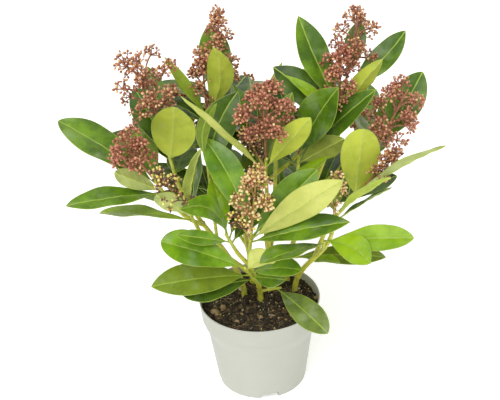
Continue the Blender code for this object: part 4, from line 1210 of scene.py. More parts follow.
@dataclass
class LeafCutter:
    """Makes leaf blades: their outline, fold, arch, veins, thickness and margin."""

    stations: int = 40
    petiole: float = 0.0021       # width of the leaf's stalk
    petiole_share: float = 0.07   # how much of the length is stalk
    margin: float = 0.00040       # width of the pale edge
    rib: float = 0.00060          # half width of the midrib at the foot
    thickness: float = 0.0009     # at the midrib
    edge: float = 0.00045         # thickness at the margin
    vein_pairs: float = 7
    vein_depth: float = 0.00030
    ripple: float = 0.0010        # how far the margin waves
    quilt: float = 0.0005         # how far the blade swells between the veins
    guide_outline: tuple = ((0.10, 0.10), (0.42, 0.94), (0.74, 0.86))
    guide_thickness: float = 0.014

    def axes(self, leaf: Leaf) -> tuple[Array, Array, Array]:
        """Return a leaf's line, its upper face's direction and its side."""
        line = heading(leaf.bearing, leaf.rise)
        up = square_to(line)
        side = np.cross(line, up)
        roll = math.radians(leaf.roll)
        turned = up * math.cos(roll) + side * math.sin(roll)
        return line, turned, side * math.cos(roll) - up * math.sin(roll)

    def outline(self, leaf: Leaf, share: Array) -> Array:
        """Return half the blade's width along it, as a share of its greatest half width.

        Args:
            leaf: The leaf, whose tip value says how pointed it is.
            share: Places from foot to tip.

        Returns:
            Values from nought to one.
        """
        run = np.clip((share - self.petiole_share) / (1 - self.petiole_share), 0, 1)
        peak = leaf.base / (leaf.base + leaf.tip)
        top = peak**leaf.base * (1 - peak) ** leaf.tip
        return run**leaf.base * (1 - run) ** leaf.tip / top

    def guide(self, root: Array, leaf: Leaf, spare: float) -> Shape:
        """Return the solids' coarse blade, larger all round, for the test of the room.

        Args:
            root: The leaf's foot.
            leaf: The leaf.
            spare: The extra width all round.

        Returns:
            The coarse blade.
        """
        line, up, side = self.axes(leaf)
        arch = leaf.length * math.tan(math.radians(leaf.bend / 2)) / 4
        lift = math.tan(math.radians(11))
        thick = leaf.length * self.guide_thickness / 2 + spare
        rings = []
        for share, wide in self.guide_outline:
            hump = 4 * share * (1 - share)
            middle = root + line * leaf.length * share + (up * arch + side * leaf.sway * leaf.length) * hump
            half = max(leaf.length * leaf.width * wide, 0.0024) / 2 + spare
            rise = up * half * lift * min(1.0, share * 4)
            rings += [middle + side * half + rise, middle + up * thick,
                      middle - side * half + rise, middle - up * thick]
        corners = np.array(rings + [root + line * (leaf.length + spare)])
        count = len(self.guide_outline)
        tip = np.array([(4 * count - 4 + k, 4 * count - 4 + (k + 1) % 4, 4 * count) for k in range(4)])
        return Shape(corners, (grid_faces(count, 4), tip, np.array([(3, 2, 1, 0)])))

    def blade(self, root: Array, leaf: Leaf, draw: np.random.Generator) -> tuple[Shape, Array]:
        """Return the fine blade.

        Args:
            root: The leaf's foot.
            leaf: The leaf.
            draw: The shoot's random numbers, for the waves of the margin.

        Returns:
            The blade, and for each of its faces 0 upper, 1 under, 2 rib above, 3 rib below,
            4 margin or 5 stalk.
        """
        line, up, side = self.axes(leaf)
        share = np.sin(np.linspace(0, 1, self.stations) * np.pi / 2) ** 1.15
        share = share * 0.55 + np.linspace(0, 1, self.stations) * 0.45
        half = leaf.length * leaf.width / 2 * self.outline(leaf, share)
        stalk = self.petiole / 2 * (1 - 0.35 * share / self.petiole_share)
        half = np.maximum(half, np.where(share < 2 * self.petiole_share, np.maximum(stalk, 0), 0))
        half = np.maximum(half, 0.00022)
        spots = self.spots(half)
        across = half[:, None] * spots
        arch = leaf.length * math.tan(math.radians(leaf.bend / 2)) / 4
        late = np.clip((share - 0.62) / 0.38, 0, 1)
        height = arch * 4 * share * (1 - share) - leaf.curl * leaf.length * late**2
        turn = math.radians(leaf.twist) * (share - 0.3)
        ups = up[None] * np.cos(turn)[:, None] + side[None] * np.sin(turn)[:, None]
        sides = side[None] * np.cos(turn)[:, None] - up[None] * np.sin(turn)[:, None]
        aside = leaf.sway * leaf.length * 4 * share * (1 - share)
        spine = (root[None] + line[None] * (leaf.length * share)[:, None] + up[None] * height[:, None]
                 + side[None] * aside[:, None])
        opened = np.minimum(1.0, share * 4)[:, None]
        lift = np.abs(across) * math.tan(math.radians(leaf.fold)) * opened
        lift *= 1 - 0.30 * np.abs(spots)
        phase = draw.uniform(0, 6.28, 2)
        wave = np.where(spots < 0, np.sin(share * 14 + phase[0])[:, None], np.sin(share * 11 + phase[1])[:, None])
        lift += self.ripple * wave * spots**2 * np.sin(np.pi * share)[:, None]
        veins = np.cos((share[:, None] * self.vein_pairs - np.abs(spots) * 1.1) * 2 * np.pi)
        inside = np.clip(1 - np.abs(spots) ** 3, 0, 1) * np.clip(half / 0.006, 0, 1)[:, None]
        lift += self.vein_depth * veins * inside
        swells = np.sin(share * 17 + phase[0])[:, None] * np.sin(spots * 3.2 + phase[1])
        lift += self.quilt * swells * np.sin(np.pi * share)[:, None] * np.clip(half / 0.010, 0, 1)[:, None]
        body = self.edge + (self.thickness - self.edge) * (1 - np.abs(spots)) ** 2
        stalky = np.clip(1 - (share - self.petiole_share) * 8, 0, 1)[:, None]
        body = body + 0.0008 * stalky * (1 - spots**2)
        body = body * np.clip(half / 0.002, 0.35, 1)[:, None]
        centred = np.exp(-(across / 0.0007) ** 2)
        upper = lift - 0.00035 * centred * (1 - stalky)
        under = lift - body - 0.0006 * centred
        top = spine[:, None] + sides[:, None] * across[..., None] + ups[:, None] * upper[..., None]
        low = spine[:, None] + sides[:, None] * across[..., None] + ups[:, None] * under[..., None]
        columns = spots.shape[1]
        corners = np.concatenate((top, low[:, ::-1]), 1).reshape(-1, 3)
        quads = grid_faces(self.stations, 2 * columns)
        first = np.arange(columns - 1)
        last = 2 * columns - 1 - first
        foot_cap = np.stack((first, last, last - 1, first + 1), 1)
        shift = (self.stations - 1) * 2 * columns
        tip_cap = foot_cap[:, ::-1] + shift
        parts = self.face_parts(columns, share)
        caps = np.concatenate((foot_cap, tip_cap))
        kinds = np.concatenate((parts, np.full(len(foot_cap), 5), np.full(len(tip_cap), 4)))
        return Shape(corners, (np.concatenate((quads, caps)),)), kinds

    def spots(self, half: Array) -> Array:
        """Return the columns across the blade, from -1 to 1, for each station."""
        edge = np.clip(1 - self.margin / half, 0.6, 0.985)
        rib = np.clip(self.rib / half, 0.02, 0.3)
        thirds = [rib + (edge - rib) * part for part in (0.0, 0.36, 0.70, 1.0)]
        right = np.stack((*thirds, np.ones_like(half)), 1)
        return np.concatenate((-right[:, ::-1], np.zeros((len(half), 1)), right), 1)

    def face_parts(self, columns: int, share: Array) -> Array:
        """Return the kind of each face of the closed grid.

        Args:
            columns: The number of columns on one side of the blade.
            share: The stations' places along the leaf.

        Returns:
            One number for each face, station by station.
        """
        middle = columns // 2
        ring = []
        for place in range(2 * columns):
            above = place < columns - 1
            own = place if above else 2 * columns - 2 - place
            if place in (columns - 1, 2 * columns - 1) or own in (0, columns - 2):
                ring.append(4)
            elif own in (middle - 1, middle):
                ring.append(2 if above else 3)
            else:
                ring.append(0 if above else 1)
        parts = np.tile(np.array(ring), (len(share) - 1, 1))
        parts[share[1:] <= self.petiole_share * 1.1] = 5
        return parts.reshape(-1)


# Blossom

@dataclass
class BudMaker:
    """Makes the fine twigs and the buds of a spray."""

    bud: float = 0.00126          # radius of a bud
    bud_height: float = 1.28      # its height, as a share of its width
    pedicel: float = 0.0022       # length of a bud's own stalk
    pedicel_radius: float = 0.00032
    twiglet: float = 0.0056       # length of the finer twigs in a cluster
    twiglet_radius: float = 0.00050
    branch_radius: float = 0.00088
    axis_radius: float = 0.0013
    sides: int = 8

    def bud_shape(self) -> Shape:
        """Return a bud of radius one: an egg with four petals, its foot at nought, tip at +Z."""
        turn = np.linspace(0, 2 * np.pi, self.sides, endpoint=False)
        petals = 1 + 0.07 * np.cos(4 * turn)
        rings = []
        for height, reach in ((-0.92, 0.42), (-0.45, 0.88), (0.10, 1.0), (0.62, 0.74), (0.92, 0.32)):
            circle = np.stack((np.cos(turn) * reach * petals, np.sin(turn) * reach * petals,
                               np.full(self.sides, height * self.bud_height)), 1)
            rings.append(circle)
        corners = np.concatenate(rings)
        corners = np.concatenate((corners, ((0, 0, -1.05), (0, 0, 1.10 * self.bud_height))))
        quads = grid_faces(len(rings), self.sides)
        index = np.arange(self.sides)
        after = (index + 1) % self.sides
        foot, tip = len(corners) - 2, len(corners) - 1
        last = (len(rings) - 1) * self.sides
        caps = np.concatenate((
            np.stack((np.full(self.sides, foot), after, index), 1),
            np.stack((np.full(self.sides, tip), last + index, last + after), 1),
        ))
        return Shape(corners, (quads, caps))

    def tip_faces(self, copies: int) -> tuple[Array, Array]:
        """Return which faces of many buds belong to their tips.

        Args:
            copies: The number of buds.

        Returns:
            A mask for the four-sided faces and one for the three-sided ones.
        """
        quads = np.zeros(4 * self.sides, dtype=bool)
        quads[3 * self.sides:] = True
        caps = np.zeros(2 * self.sides, dtype=bool)
        caps[self.sides:] = True
        return np.tile(quads, copies), np.tile(caps, copies)


def rods(starts: Array, ends: Array, start_radius: float, end_radius: float, sides: int) -> Shape:
    """Return many straight tapering rods at once, open at their hidden ends.

    Args:
        starts: Where each rod starts.
        ends: Where each rod ends.
        start_radius: The radius at the start.
        end_radius: The radius at the end.
        sides: The number of sides.

    Returns:
        All rods as one shape, each closed by a flat face at both ends.
    """
    ways = unit(ends - starts)
    guide = np.where(np.abs(ways[:, 2:3]) < 0.9, np.array([[0.0, 0.0, 1.0]]), np.array([[1.0, 0.0, 0.0]]))
    first = unit(np.cross(ways, guide))
    second = np.cross(ways, first)
    turn = np.linspace(0, 2 * np.pi, sides, endpoint=False)
    ring = first[:, None] * np.cos(turn)[None, :, None] + second[:, None] * np.sin(turn)[None, :, None]
    corners = np.concatenate((starts[:, None] + ring * start_radius, ends[:, None] + ring * end_radius), 1)
    shift = (np.arange(len(starts)) * 2 * sides)[:, None, None]
    walls = (grid_faces(2, sides)[None] + shift).reshape(-1, 4)
    index = np.arange(1, sides - 1)
    low = np.stack((np.zeros_like(index), index + 1, index), 1)
    high = np.stack((np.zeros_like(index), index, index + 1), 1) + sides
    caps = (np.concatenate((low, high))[None] + shift).reshape(-1, 3)
    return Shape(corners.reshape(-1, 3), (walls, caps))


def spread_round(way: Array, count: int, opening: float, draw: random.Random) -> Array:
    """Return directions spread evenly over a cap about a direction.

    Args:
        way: The cap's middle.
        count: How many directions.
        opening: The cap's half angle in degrees.
        draw: Random numbers for a slight unevenness.

    Returns:
        One unit vector a row.
    """
    across = square_to(way)
    over = np.cross(way, across)
    floor = math.cos(math.radians(opening))
    start = draw.uniform(0, 2 * math.pi)
    ways = []
    for number in range(count):
        level = 1 - (1 - floor) * (number + 0.5) / count
        turn = start + math.radians(GOLDEN_ANGLE) * number + draw.uniform(-0.25, 0.25)
        flat = math.sqrt(max(0.0, 1 - level * level))
        ways.append(way * level + (across * math.cos(turn) + over * math.sin(turn)) * flat)
    return unit(np.array(ways))


@dataclass
class SprayPlan:
    """Everything of one spray before it is made: rods by thickness, and its buds."""

    branches: list[tuple[Array, Array]] = field(default_factory=list)
    twiglets: list[tuple[Array, Array]] = field(default_factory=list)
    pedicels: list[tuple[Array, Array]] = field(default_factory=list)
    buds: list[tuple[Array, Array, float]] = field(default_factory=list)

    def drop_buds_at(self, blade: tuple[Array, Leaf, tuple[Array, Array, Array]], room: float) -> None:
        """Drop the buds and twiglets that would pierce a leaf of the same shoot.

        Args:
            blade: The leaf's foot, the leaf, and its line, upper direction and side.
            room: How near to the blade they may come.
        """
        root, leaf, (line, up, side) = blade
        arch = leaf.length * math.tan(math.radians(leaf.bend / 2)) / 4
        half = leaf.length * leaf.width / 2 + room

        def clear(spot: Array) -> bool:
            """Tell whether a spot keeps off the blade."""
            share = (spot - root).dot(line) / leaf.length
            if not 0.08 < share < 1.04:
                return True
            hump = 4 * share * (1 - share)
            off = (spot - root).dot(side) - leaf.sway * leaf.length * hump
            level = arch * hump + abs(off) * math.tan(math.radians(leaf.fold)) * 0.8
            return abs(off) > half or abs((spot - root).dot(up) - level) > room

        kept = [number for number, bud in enumerate(self.buds) if clear(bud[0])]
        self.buds = [self.buds[number] for number in kept]
        self.pedicels = [self.pedicels[number] for number in kept]
        self.twiglets = [pair for pair in self.twiglets if clear(pair[1])]


# The crown

class Region(Enum):
    """The part of the crown that a shoot belongs to, which becomes pieces of its own."""

    LEFT = "left"
    MIDDLE = "middle"
    RIGHT = "right"
    BACK = "back"


@dataclass
class Palette:
    """The crown's materials, each kind in the order of its slots."""

    uppers: list[bpy.types.Material] = field(default_factory=list)
    unders: list[bpy.types.Material] = field(default_factory=list)
    ribs: list[bpy.types.Material] = field(default_factory=list)
    buds: list[bpy.types.Material] = field(default_factory=list)
    twigs: list[bpy.types.Material] = field(default_factory=list)

    def fill(self) -> "Palette":
        """Make every material."""
        self.uppers = [UPPER_FINISHES[tint].make() for tint in Tint]
        self.unders = [UNDER_FINISHES[tint].make() for tint in Tint]
        self.ribs = [finish.make() for finish in RIB_FINISHES]
        self.buds = [BUD_FINISHES[tone].make() for tone in BudTone]
        self.twigs = [TWIG_FINISHES[tone].make() for tone in TwigTone]
        return self

    def leaf_slots(self, tint: Tint, kinds: Array) -> Array:
        """Return the slot of each face of a leaf.

        Args:
            tint: The leaf's look.
            kinds: The kind of each face, as a leaf cutter gives it.

        Returns:
            Numbers into the leaves' materials: uppers, unders, then ribs.
        """
        number = list(Tint).index(tint)
        tints = len(Tint)
        table = np.array((number, tints + number, 2 * tints, 2 * tints + 1, 2 * tints + 2, 2 * tints + 3))
        return table[kinds]


class Crown:
    """All leafy shoots with their leaves, twigs and blossom."""

    def __init__(self, framework: Framework, palette: Palette) -> None:
        """Start the crown on its framework."""
        self.framework = framework
        self.palette = palette
        self.room = Room()
        self.cutter = LeafCutter()
        self.maker = BudMaker()
        leaf_finishes = palette.uppers + palette.unders + palette.ribs
        self.leaves = {region: Pile(f"leaves_{region.value}", leaf_finishes) for region in Region}
        self.twigs = {region: Pile(f"twigs_{region.value}", palette.twigs) for region in Region}
        self.buds = {region: Pile(f"blossom_{region.value}", palette.buds) for region in Region}
        self.nodes: dict[Region, list[str]] = {region: [] for region in Region}

    @staticmethod
    def region_of(shoot: Shoot) -> Region:
        """Return the region where a shoot's whorl lies."""
        x, y, _ = shoot.whorl
        if y > 0.07:
            return Region.BACK
        if x < -0.02:
            return Region.LEFT
        return Region.RIGHT if x > 0.05 else Region.MIDDLE

    def grow(self, shoots: Sequence[Shoot]) -> None:
        """Grow every shoot."""
        sides = {twig.shoot: twig for twig in SIDE_TWIGS}
        for shoot in shoots:
            self.grow_shoot(shoot, sides.get(shoot.name))

    def grow_shoot(self, shoot: Shoot, side: Optional[SideTwig]) -> None:
        """Grow one shoot: its own stem, its spray and its leaves, in the solids' order of draws.

        Args:
            shoot: The shoot.
            side: The seat of its stem on the side of a limb, where it has one.
        """
        region = self.region_of(shoot)
        node = f"foliage_{shoot.name}"
        self.nodes[region].append(node)
        draw = random.Random(shoot.seed)
        finer = random.Random(shoot.seed + 500)
        waves = np.random.default_rng(shoot.seed + 900)
        whorl = np.array(shoot.whorl)
        way = heading(shoot.bearing, shoot.rise)
        foot = shoot_foot(shoot)
        if side:
            foot, _ = self.framework.limbs[side.stem].at(side.leaves_at)
            way = unit(whorl - foot)
        reach = shoot.span[1] + 0.002
        if shoot.spray:
            reach = max(reach, shoot.spray.stalk * 0.3)
        head = whorl + way * reach
        self.grow_stem(region, foot, head, shoot.seed)
        blades = self.shown_blades(shoot, whorl, way)
        if shoot.spray:
            self.grow_spray(region, node, shoot.spray, head, blades, draw, finer)
        for spray in shoot.side_sprays:
            self.grow_spray(region, node, spray, whorl, blades, finer, finer)
        for leaf, height in self.placed_leaves(shoot, draw):
            self.grow_leaf(region, node, whorl + way * height, leaf, waves)

    def shown_blades(self, shoot: Shoot, whorl: Array, way: Array) -> list[tuple]:
        """Return where the leaves of a shoot's own list lie, for its buds to keep clear of.

        Args:
            shoot: The shoot.
            whorl: Its whorl's centre.
            way: Its heading.

        Returns:
            Each leaf's foot, the leaf, and its line, upper direction and side.
        """
        bare = replace(shoot, fill=())
        return [(whorl + way * height, leaf, self.cutter.axes(leaf))
                for leaf, height in self.placed_leaves(bare, random.Random(0))]

    def grow_stem(self, region: Region, foot: Array, head: Array, seed: int) -> None:
        """Grow a shoot's own green stem with the swellings where leaves sit.

        Args:
            region: The region.
            foot: Where it starts.
            head: Where it ends.
            seed: The seed of its swellings.
        """
        points = np.linspace(foot, head, 24)
        draw = np.random.default_rng(seed)
        radii = np.linspace(0.00175, 0.00125, 24) * (1 + 0.10 * draw.uniform(-1, 1, 24))
        self.twigs[region].add(tube(points, radii, 10), list(TwigTone).index(TwigTone.GREEN))

    def placed_leaves(self, shoot: Shoot, draw: random.Random) -> list[tuple[Leaf, float]]:
        """Return a shoot's leaves with their heights on the stem, by the rule of the solids.

        Args:
            shoot: The shoot.
            draw: The shoot's random numbers, after its spray's.

        Returns:
            Each leaf and its height about the whorl.
        """
        low, high = shoot.span
        ordered = sorted(shoot.leaves, key=lambda leaf: leaf.rise)
        placed = []
        for rank, leaf in enumerate(ordered):
            height = low + (high - low) * rank / max(1, len(ordered) - 1)
            placed.append((leaf, height if leaf.seat is None else leaf.seat))
        if shoot.fill:
            first, last, count, rise = shoot.fill
            tints = (Tint.DEEP, Tint.MID, Tint.DEEP, Tint.OLIVE, Tint.MID)
            for number in range(count):
                share = (number + 0.5) / count
                leaf = Leaf(
                    bearing=first + (last - first) * share + draw.uniform(-8, 8),
                    rise=rise + draw.uniform(-8, 8) + 12 * (number % 2),
                    length=draw.uniform(0.074, 0.098),
                    width=draw.uniform(0.30, 0.37),
                    bend=draw.uniform(12, 26),
                    roll=draw.uniform(-14, 14),
                    tint=tints[(number + shoot.seed) % len(tints)],
                    fold=14,
                )
                placed.append((leaf, low + (high - low) * (number % 3) / 2))
        return placed

    def grow_leaf(self, region: Region, node: str, root: Array, leaf: Leaf,
                  waves: np.random.Generator) -> None:
        """Grow a leaf where it keeps clear of its neighbours, turned a little if it has to be.

        Args:
            region: The region.
            node: The shoot's node.
            root: The leaf's foot.
            leaf: The leaf.
            waves: The random numbers of the margins.
        """
        for turn, lift in NUDGES:
            turned = replace(leaf, bearing=leaf.bearing + turn, rise=leaf.rise + lift)
            if self.room.clear(node, self.cutter.guide(root, turned, LEAF_ROOM)):
                shape, kinds = self.cutter.blade(root, turned, waves)
                self.leaves[region].add(shape, [self.palette.leaf_slots(leaf.tint, kinds)])
                if turn or lift:
                    LOG.info("%s turns its leaf at bearing %.0f by %d, %d", node, leaf.bearing, turn, lift)
                return
        LOG.info("%s skips a leaf at bearing %.0f, rise %.0f", node, leaf.bearing, leaf.rise)

    def grow_spray(self, region: Region, node: str, spray: Spray, head: Array, blades: list[tuple],
                   draw: random.Random, finer: random.Random) -> None:
        """Grow a spray: axis, branches by the golden angle, and knots of buds on finer twigs.

        Args:
            region: The region.
            node: The shoot's node.
            spray: The spray.
            head: The end of the shoot's stem.
            blades: The shoot's leaves that its buds keep clear of.
            draw: The random numbers of the solids' rule.
            finer: The random numbers of what the solids leave out.
        """
        maker = self.maker
        way = heading(spray.bearing, spray.rise)
        base = head - way * maker.axis_radius
        stalk = spray.stalk * 0.7
        tip = base + way * (stalk + spray.length * 0.86)
        axis = np.linspace(base, tip, 16)
        radii = np.linspace(maker.axis_radius * 1.15, maker.branch_radius * 0.8, 16)
        bark = TwigTone.STALK if spray.bloom in (Bloom.CREAM, Bloom.GOLDEN) else TwigTone.REDDISH
        self.twigs[region].add(tube(axis, radii, 8), list(TwigTone).index(bark))
        across = square_to(way)
        over = np.cross(way, across)
        plan = SprayPlan()
        for number in range(spray.clusters):
            share = number / (spray.clusters - 1)
            turn = math.radians(GOLDEN_ANGLE * number + draw.uniform(-14, 14))
            out = across * math.cos(turn) + over * math.sin(turn)
            swell = math.sin(math.pi * (0.30 + (spray.crown - 0.30) * share)) * draw.uniform(0.82, 1.0)
            size = CLUSTER_SIZE * draw.uniform(0.85, 1.1) * (0.75 + 0.25 * spray.radius / 0.025)
            spread = max(0.0, spray.radius * swell - size * 0.7)
            height = stalk + spray.length * (0.08 + 0.86 * share) - size * 0.4
            centre = base + way * height + out * spread
            joint = base + way * max(stalk * 0.5, height - spread * (0.5 + 0.9 * share))
            if self.room.clear_ball(node, centre, size * 0.9):
                self.plan_cluster(plan, spray, joint, centre, way, size, finer)
        self.plan_inner_clusters(plan, spray, node, base, way, finer)
        for blade in blades:
            plan.drop_buds_at(blade, 0.0026)
        self.make_spray(region, spray, plan, finer)

    def plan_inner_clusters(self, plan: SprayPlan, spray: Spray, node: str, base: Array, way: Array,
                            draw: random.Random) -> None:
        """Plan the clusters that fill the spray between those of the solids.

        Args:
            plan: The spray's plan.
            spray: The spray.
            node: The shoot's node.
            base: The axis's foot.
            way: The axis's heading.
            draw: Random numbers.
        """
        across = square_to(way)
        over = np.cross(way, across)
        stalk = spray.stalk * 0.7
        count = round(spray.clusters * spray.fullness)
        for number in range(count):
            share = (number + 0.5) / count
            turn = math.radians(GOLDEN_ANGLE * number + 70 + draw.uniform(-20, 20))
            out = across * math.cos(turn) + over * math.sin(turn)
            swell = math.sin(math.pi * (0.30 + (spray.crown - 0.30) * share))
            size = CLUSTER_SIZE * draw.uniform(0.70, 0.95)
            spread = max(0.0, spray.radius * swell * math.sqrt(draw.uniform(0.10, 1.0)) - size * 0.6)
            height = stalk + spray.length * (0.06 + 0.90 * share) - size * 0.4
            centre = base + way * height + out * spread
            joint = base + way * max(stalk * 0.5, height - spread * (0.5 + 0.9 * share) - size)
            if self.room.clear_ball(node, centre, size * 0.8):
                self.plan_cluster(plan, spray, joint, centre, way, size, draw)

    def plan_cluster(self, plan: SprayPlan, spray: Spray, joint: Array, centre: Array, way: Array,
                     size: float, draw: random.Random) -> None:
        """Plan one cluster: its branch, its twiglets, and the buds at their ends.

        Args:
            plan: The spray's plan.
            spray: The spray.
            joint: Where the branch leaves the axis.
            centre: The cluster's middle.
            way: The axis's heading.
            size: The cluster's radius.
            draw: Random numbers.
        """
        outward = centre - joint
        reach = float(np.linalg.norm(outward))
        outward = unit(outward * 0.75 + way * reach * 0.35) if reach > 1e-5 else way
        fork = centre - outward * size * 0.55
        bent = joint + (way * 0.55 + outward * 0.45) * np.linalg.norm(fork - joint) * 0.5
        parts = np.linspace(0, 1, 6)[:, None]
        arc = joint * (1 - parts) ** 2 + bent * 2 * parts * (1 - parts) + fork * parts**2
        plan.branches += list(zip(arc[:-1], arc[1:]))
        for finer_way in spread_round(outward, spray.knots, 105, draw):
            start = fork - outward * draw.uniform(0, 0.25) * size
            knot = fork + finer_way * size * draw.uniform(0.70, 0.98)
            plan.twiglets.append((start, knot))
            for bud_way in spread_round(unit(finer_way + outward * 0.3), draw.choice((3, 3, 4, 5)), 95, draw):
                length = self.maker.pedicel * draw.uniform(0.7, 1.2)
                foot = knot + bud_way * length
                plan.pedicels.append((knot, foot))
                plan.buds.append((foot + bud_way * self.maker.bud * 0.8, bud_way, draw.uniform(0.80, 1.12)))

    def make_spray(self, region: Region, spray: Spray, plan: SprayPlan, draw: random.Random) -> None:
        """Turn a spray's plan into rods and buds.

        Args:
            region: The region.
            spray: The spray.
            plan: Its plan.
            draw: Random numbers for the buds' colours.
        """
        if not plan.buds:
            return
        maker = self.maker
        reddish = list(TwigTone).index(TwigTone.REDDISH)
        tones = {Bloom.CREAM: TwigTone.STALK, Bloom.GOLDEN: TwigTone.BROWN, Bloom.SHADED: TwigTone.BROWN}
        fine = list(TwigTone).index(tones.get(spray.bloom, TwigTone.REDDISH))
        sets = (
            (plan.branches, maker.branch_radius, maker.branch_radius * 0.92, 6, fine),
            (plan.twiglets, maker.twiglet_radius * 1.15, maker.twiglet_radius, 5, fine),
            (plan.pedicels, maker.pedicel_radius, maker.pedicel_radius, 4, reddish),
        )
        for pairs, start_radius, end_radius, sides, slot in sets:
            starts = np.array([pair[0] for pair in pairs])
            ends = np.array([pair[1] for pair in pairs])
            self.twigs[region].add(rods(starts, ends, start_radius, end_radius, sides), slot)
        places = np.array([bud[0] for bud in plan.buds])
        axes = np.array([bud[1] for bud in plan.buds])
        sizes = np.array([bud[2] for bud in plan.buds]) * maker.bud
        spins = np.array([draw.uniform(0, 6.28) for _ in plan.buds])
        shape = maker.bud_shape().scattered(places, axes, sizes, spins)
        choices = BLOOM_TONES[spray.bloom]
        picked = draw.choices(choices, weights=[choice[0] for choice in choices], k=len(plan.buds))
        bodies = np.array([list(BudTone).index(choice[1]) for choice in picked])
        tips = np.array([list(BudTone).index(choice[2]) for choice in picked])
        # the tip faces take the tip colour: partly the buds' own paler ends, partly painted highlight
        slots = []
        for mask in maker.tip_faces(len(plan.buds)):
            each = len(mask) // len(plan.buds)
            slots.append(np.where(mask, np.repeat(tips, each), np.repeat(bodies, each)))
        self.buds[region].add(shape, slots)

    def make(self) -> list[bpy.types.Object]:
        """Build the crown's pieces, region by region."""
        made = []
        for region in Region:
            for piles in (self.leaves, self.twigs, self.buds):
                made.append(piles[region].make("leaf", self.nodes[region]))
        return made


# The pot

@dataclass
class NurseryPot:
    """The thin-walled round pot: rim, collar, shoulder, tapering wall and notched foot."""

    height: float = 0.094
    rim: float = 0.060
    collar: float = 0.0578
    collar_depth: float = 0.020
    shoulder: float = 0.0520
    shoulder_depth: float = 0.037
    base: float = 0.0440
    wall: float = 0.0012
    floor: float = 0.0066
    step: float = 0.0009          # how far the wall steps in under the collar
    lip: float = 0.0004           # how far the rolled lip stands out
    notch_width: float = 0.0185
    notch_height: float = 0.0046
    notch_rise: float = 0.0010    # the notch's top is higher on one side
    notch_reach: float = 0.0090
    notch_bearings: tuple[float, ...] = (-82, 8, 98, 188)
    segments: int = 144

    def bearings(self) -> Array:
        """Return the bearings of the pot's columns, with a pair at each side of a notch."""
        marks = list(np.linspace(0, 2 * np.pi, self.segments, endpoint=False))
        half = self.notch_width / 2 / self.base
        for bearing in self.notch_bearings:
            for side in (-half, half):
                edge = math.radians(bearing) + side
                marks += [edge - 0.004, edge + 0.004]
        return np.sort(np.mod(np.array(marks), 2 * np.pi))

    def notch_top(self, bearings: Array) -> Array:
        """Return how high the foot is cut away at each bearing.

        Args:
            bearings: Bearings in radians.

        Returns:
            Heights, nought outside the notches.
        """
        top = np.zeros_like(bearings)
        half = self.notch_width / 2 / self.base
        for bearing in self.notch_bearings:
            off = np.mod(bearings - math.radians(bearing) + np.pi, 2 * np.pi) - np.pi
            inside = np.abs(off) < half
            share = off / half
            wavy = self.notch_rise / (1 + np.exp(-(share - 0.25) * 14)) + 0.00025 * np.sin(share * 9)
            top = np.where(inside, self.notch_height + wavy, top)
        return top

    def profile(self) -> list[tuple[float, float]]:
        """Return the wall's profile from the middle of the underside, round the rim, inwards."""
        collar = self.height - self.collar_depth
        shoulder = self.height - self.shoulder_depth
        points = [(0.0, 0.0), (self.base - self.notch_reach - 0.004, 0.0)]
        points += [(self.base - self.notch_reach, 0.0), (self.base - self.notch_reach + 0.0002, 0.0)]
        points += [(self.base - 0.0012, 0.0), (self.base - 0.0004, 0.0003), (self.base, 0.0012)]
        for part in np.linspace(0.08, 1, 12):
            rise = shoulder * part
            points.append((self.base + (self.shoulder - self.base) * part - 0.00006 * math.sin(part * 40), rise))
        for part in np.linspace(0.12, 0.9, 6):
            run = part * part * (3 - 2 * part)
            points.append((self.shoulder + (self.collar - self.step - self.shoulder) * run,
                           shoulder + (collar - shoulder) * part))
        points += [(self.collar - self.step, collar - 0.0006), (self.collar - 0.0001, collar),
                   (self.collar + 0.0001, collar + 0.0006)]
        lip = self.height - 0.0022
        points += [(self.collar + (self.rim - self.lip - self.collar) * part, collar + (lip - collar) * part)
                   for part in (0.35, 0.7, 1.0)]
        points += [(self.rim - 0.0001, lip + 0.0005), (self.rim, self.height - 0.0009),
                   (self.rim - 0.0003, self.height - 0.0001), (self.rim - 0.0008, self.height),
                   (self.rim - self.wall - 0.0001, self.height - 0.0005)]
        inner = self.wall + 0.0002
        points += [(self.rim - self.lip - inner, lip), (self.collar - inner, collar),
                   (self.shoulder - inner, shoulder), (self.base - inner, self.floor + 0.002),
                   (self.base - inner - 0.002, self.floor), (0.0, self.floor)]
        return points

    def make(self) -> bpy.types.Object:
        """Build the piece that stands for the pot."""
        bearings = self.bearings()
        top = self.notch_top(bearings)
        rings = []
        for radius, height in self.profile():
            level = np.full_like(bearings, height)
            if radius > self.base - self.notch_reach + 0.0001 and height < 0.02:
                level = np.maximum(level, top)
            reach = np.full_like(bearings, max(radius, 1e-5))
            rings.append(np.stack((np.cos(bearings) * reach, np.sin(bearings) * reach, level), 1))
        corners = np.concatenate(rings)
        faces = grid_faces(len(rings), len(bearings))
        pile = Pile("pot_shell", [PotPlastic().make()])
        pile.add(Shape(corners, (faces,)), 0)
        piece = pile.make("pot_plastic", ["pot"])
        piece.data.set_sharp_from_angle(angle=math.radians(38))
        return piece


# The soil

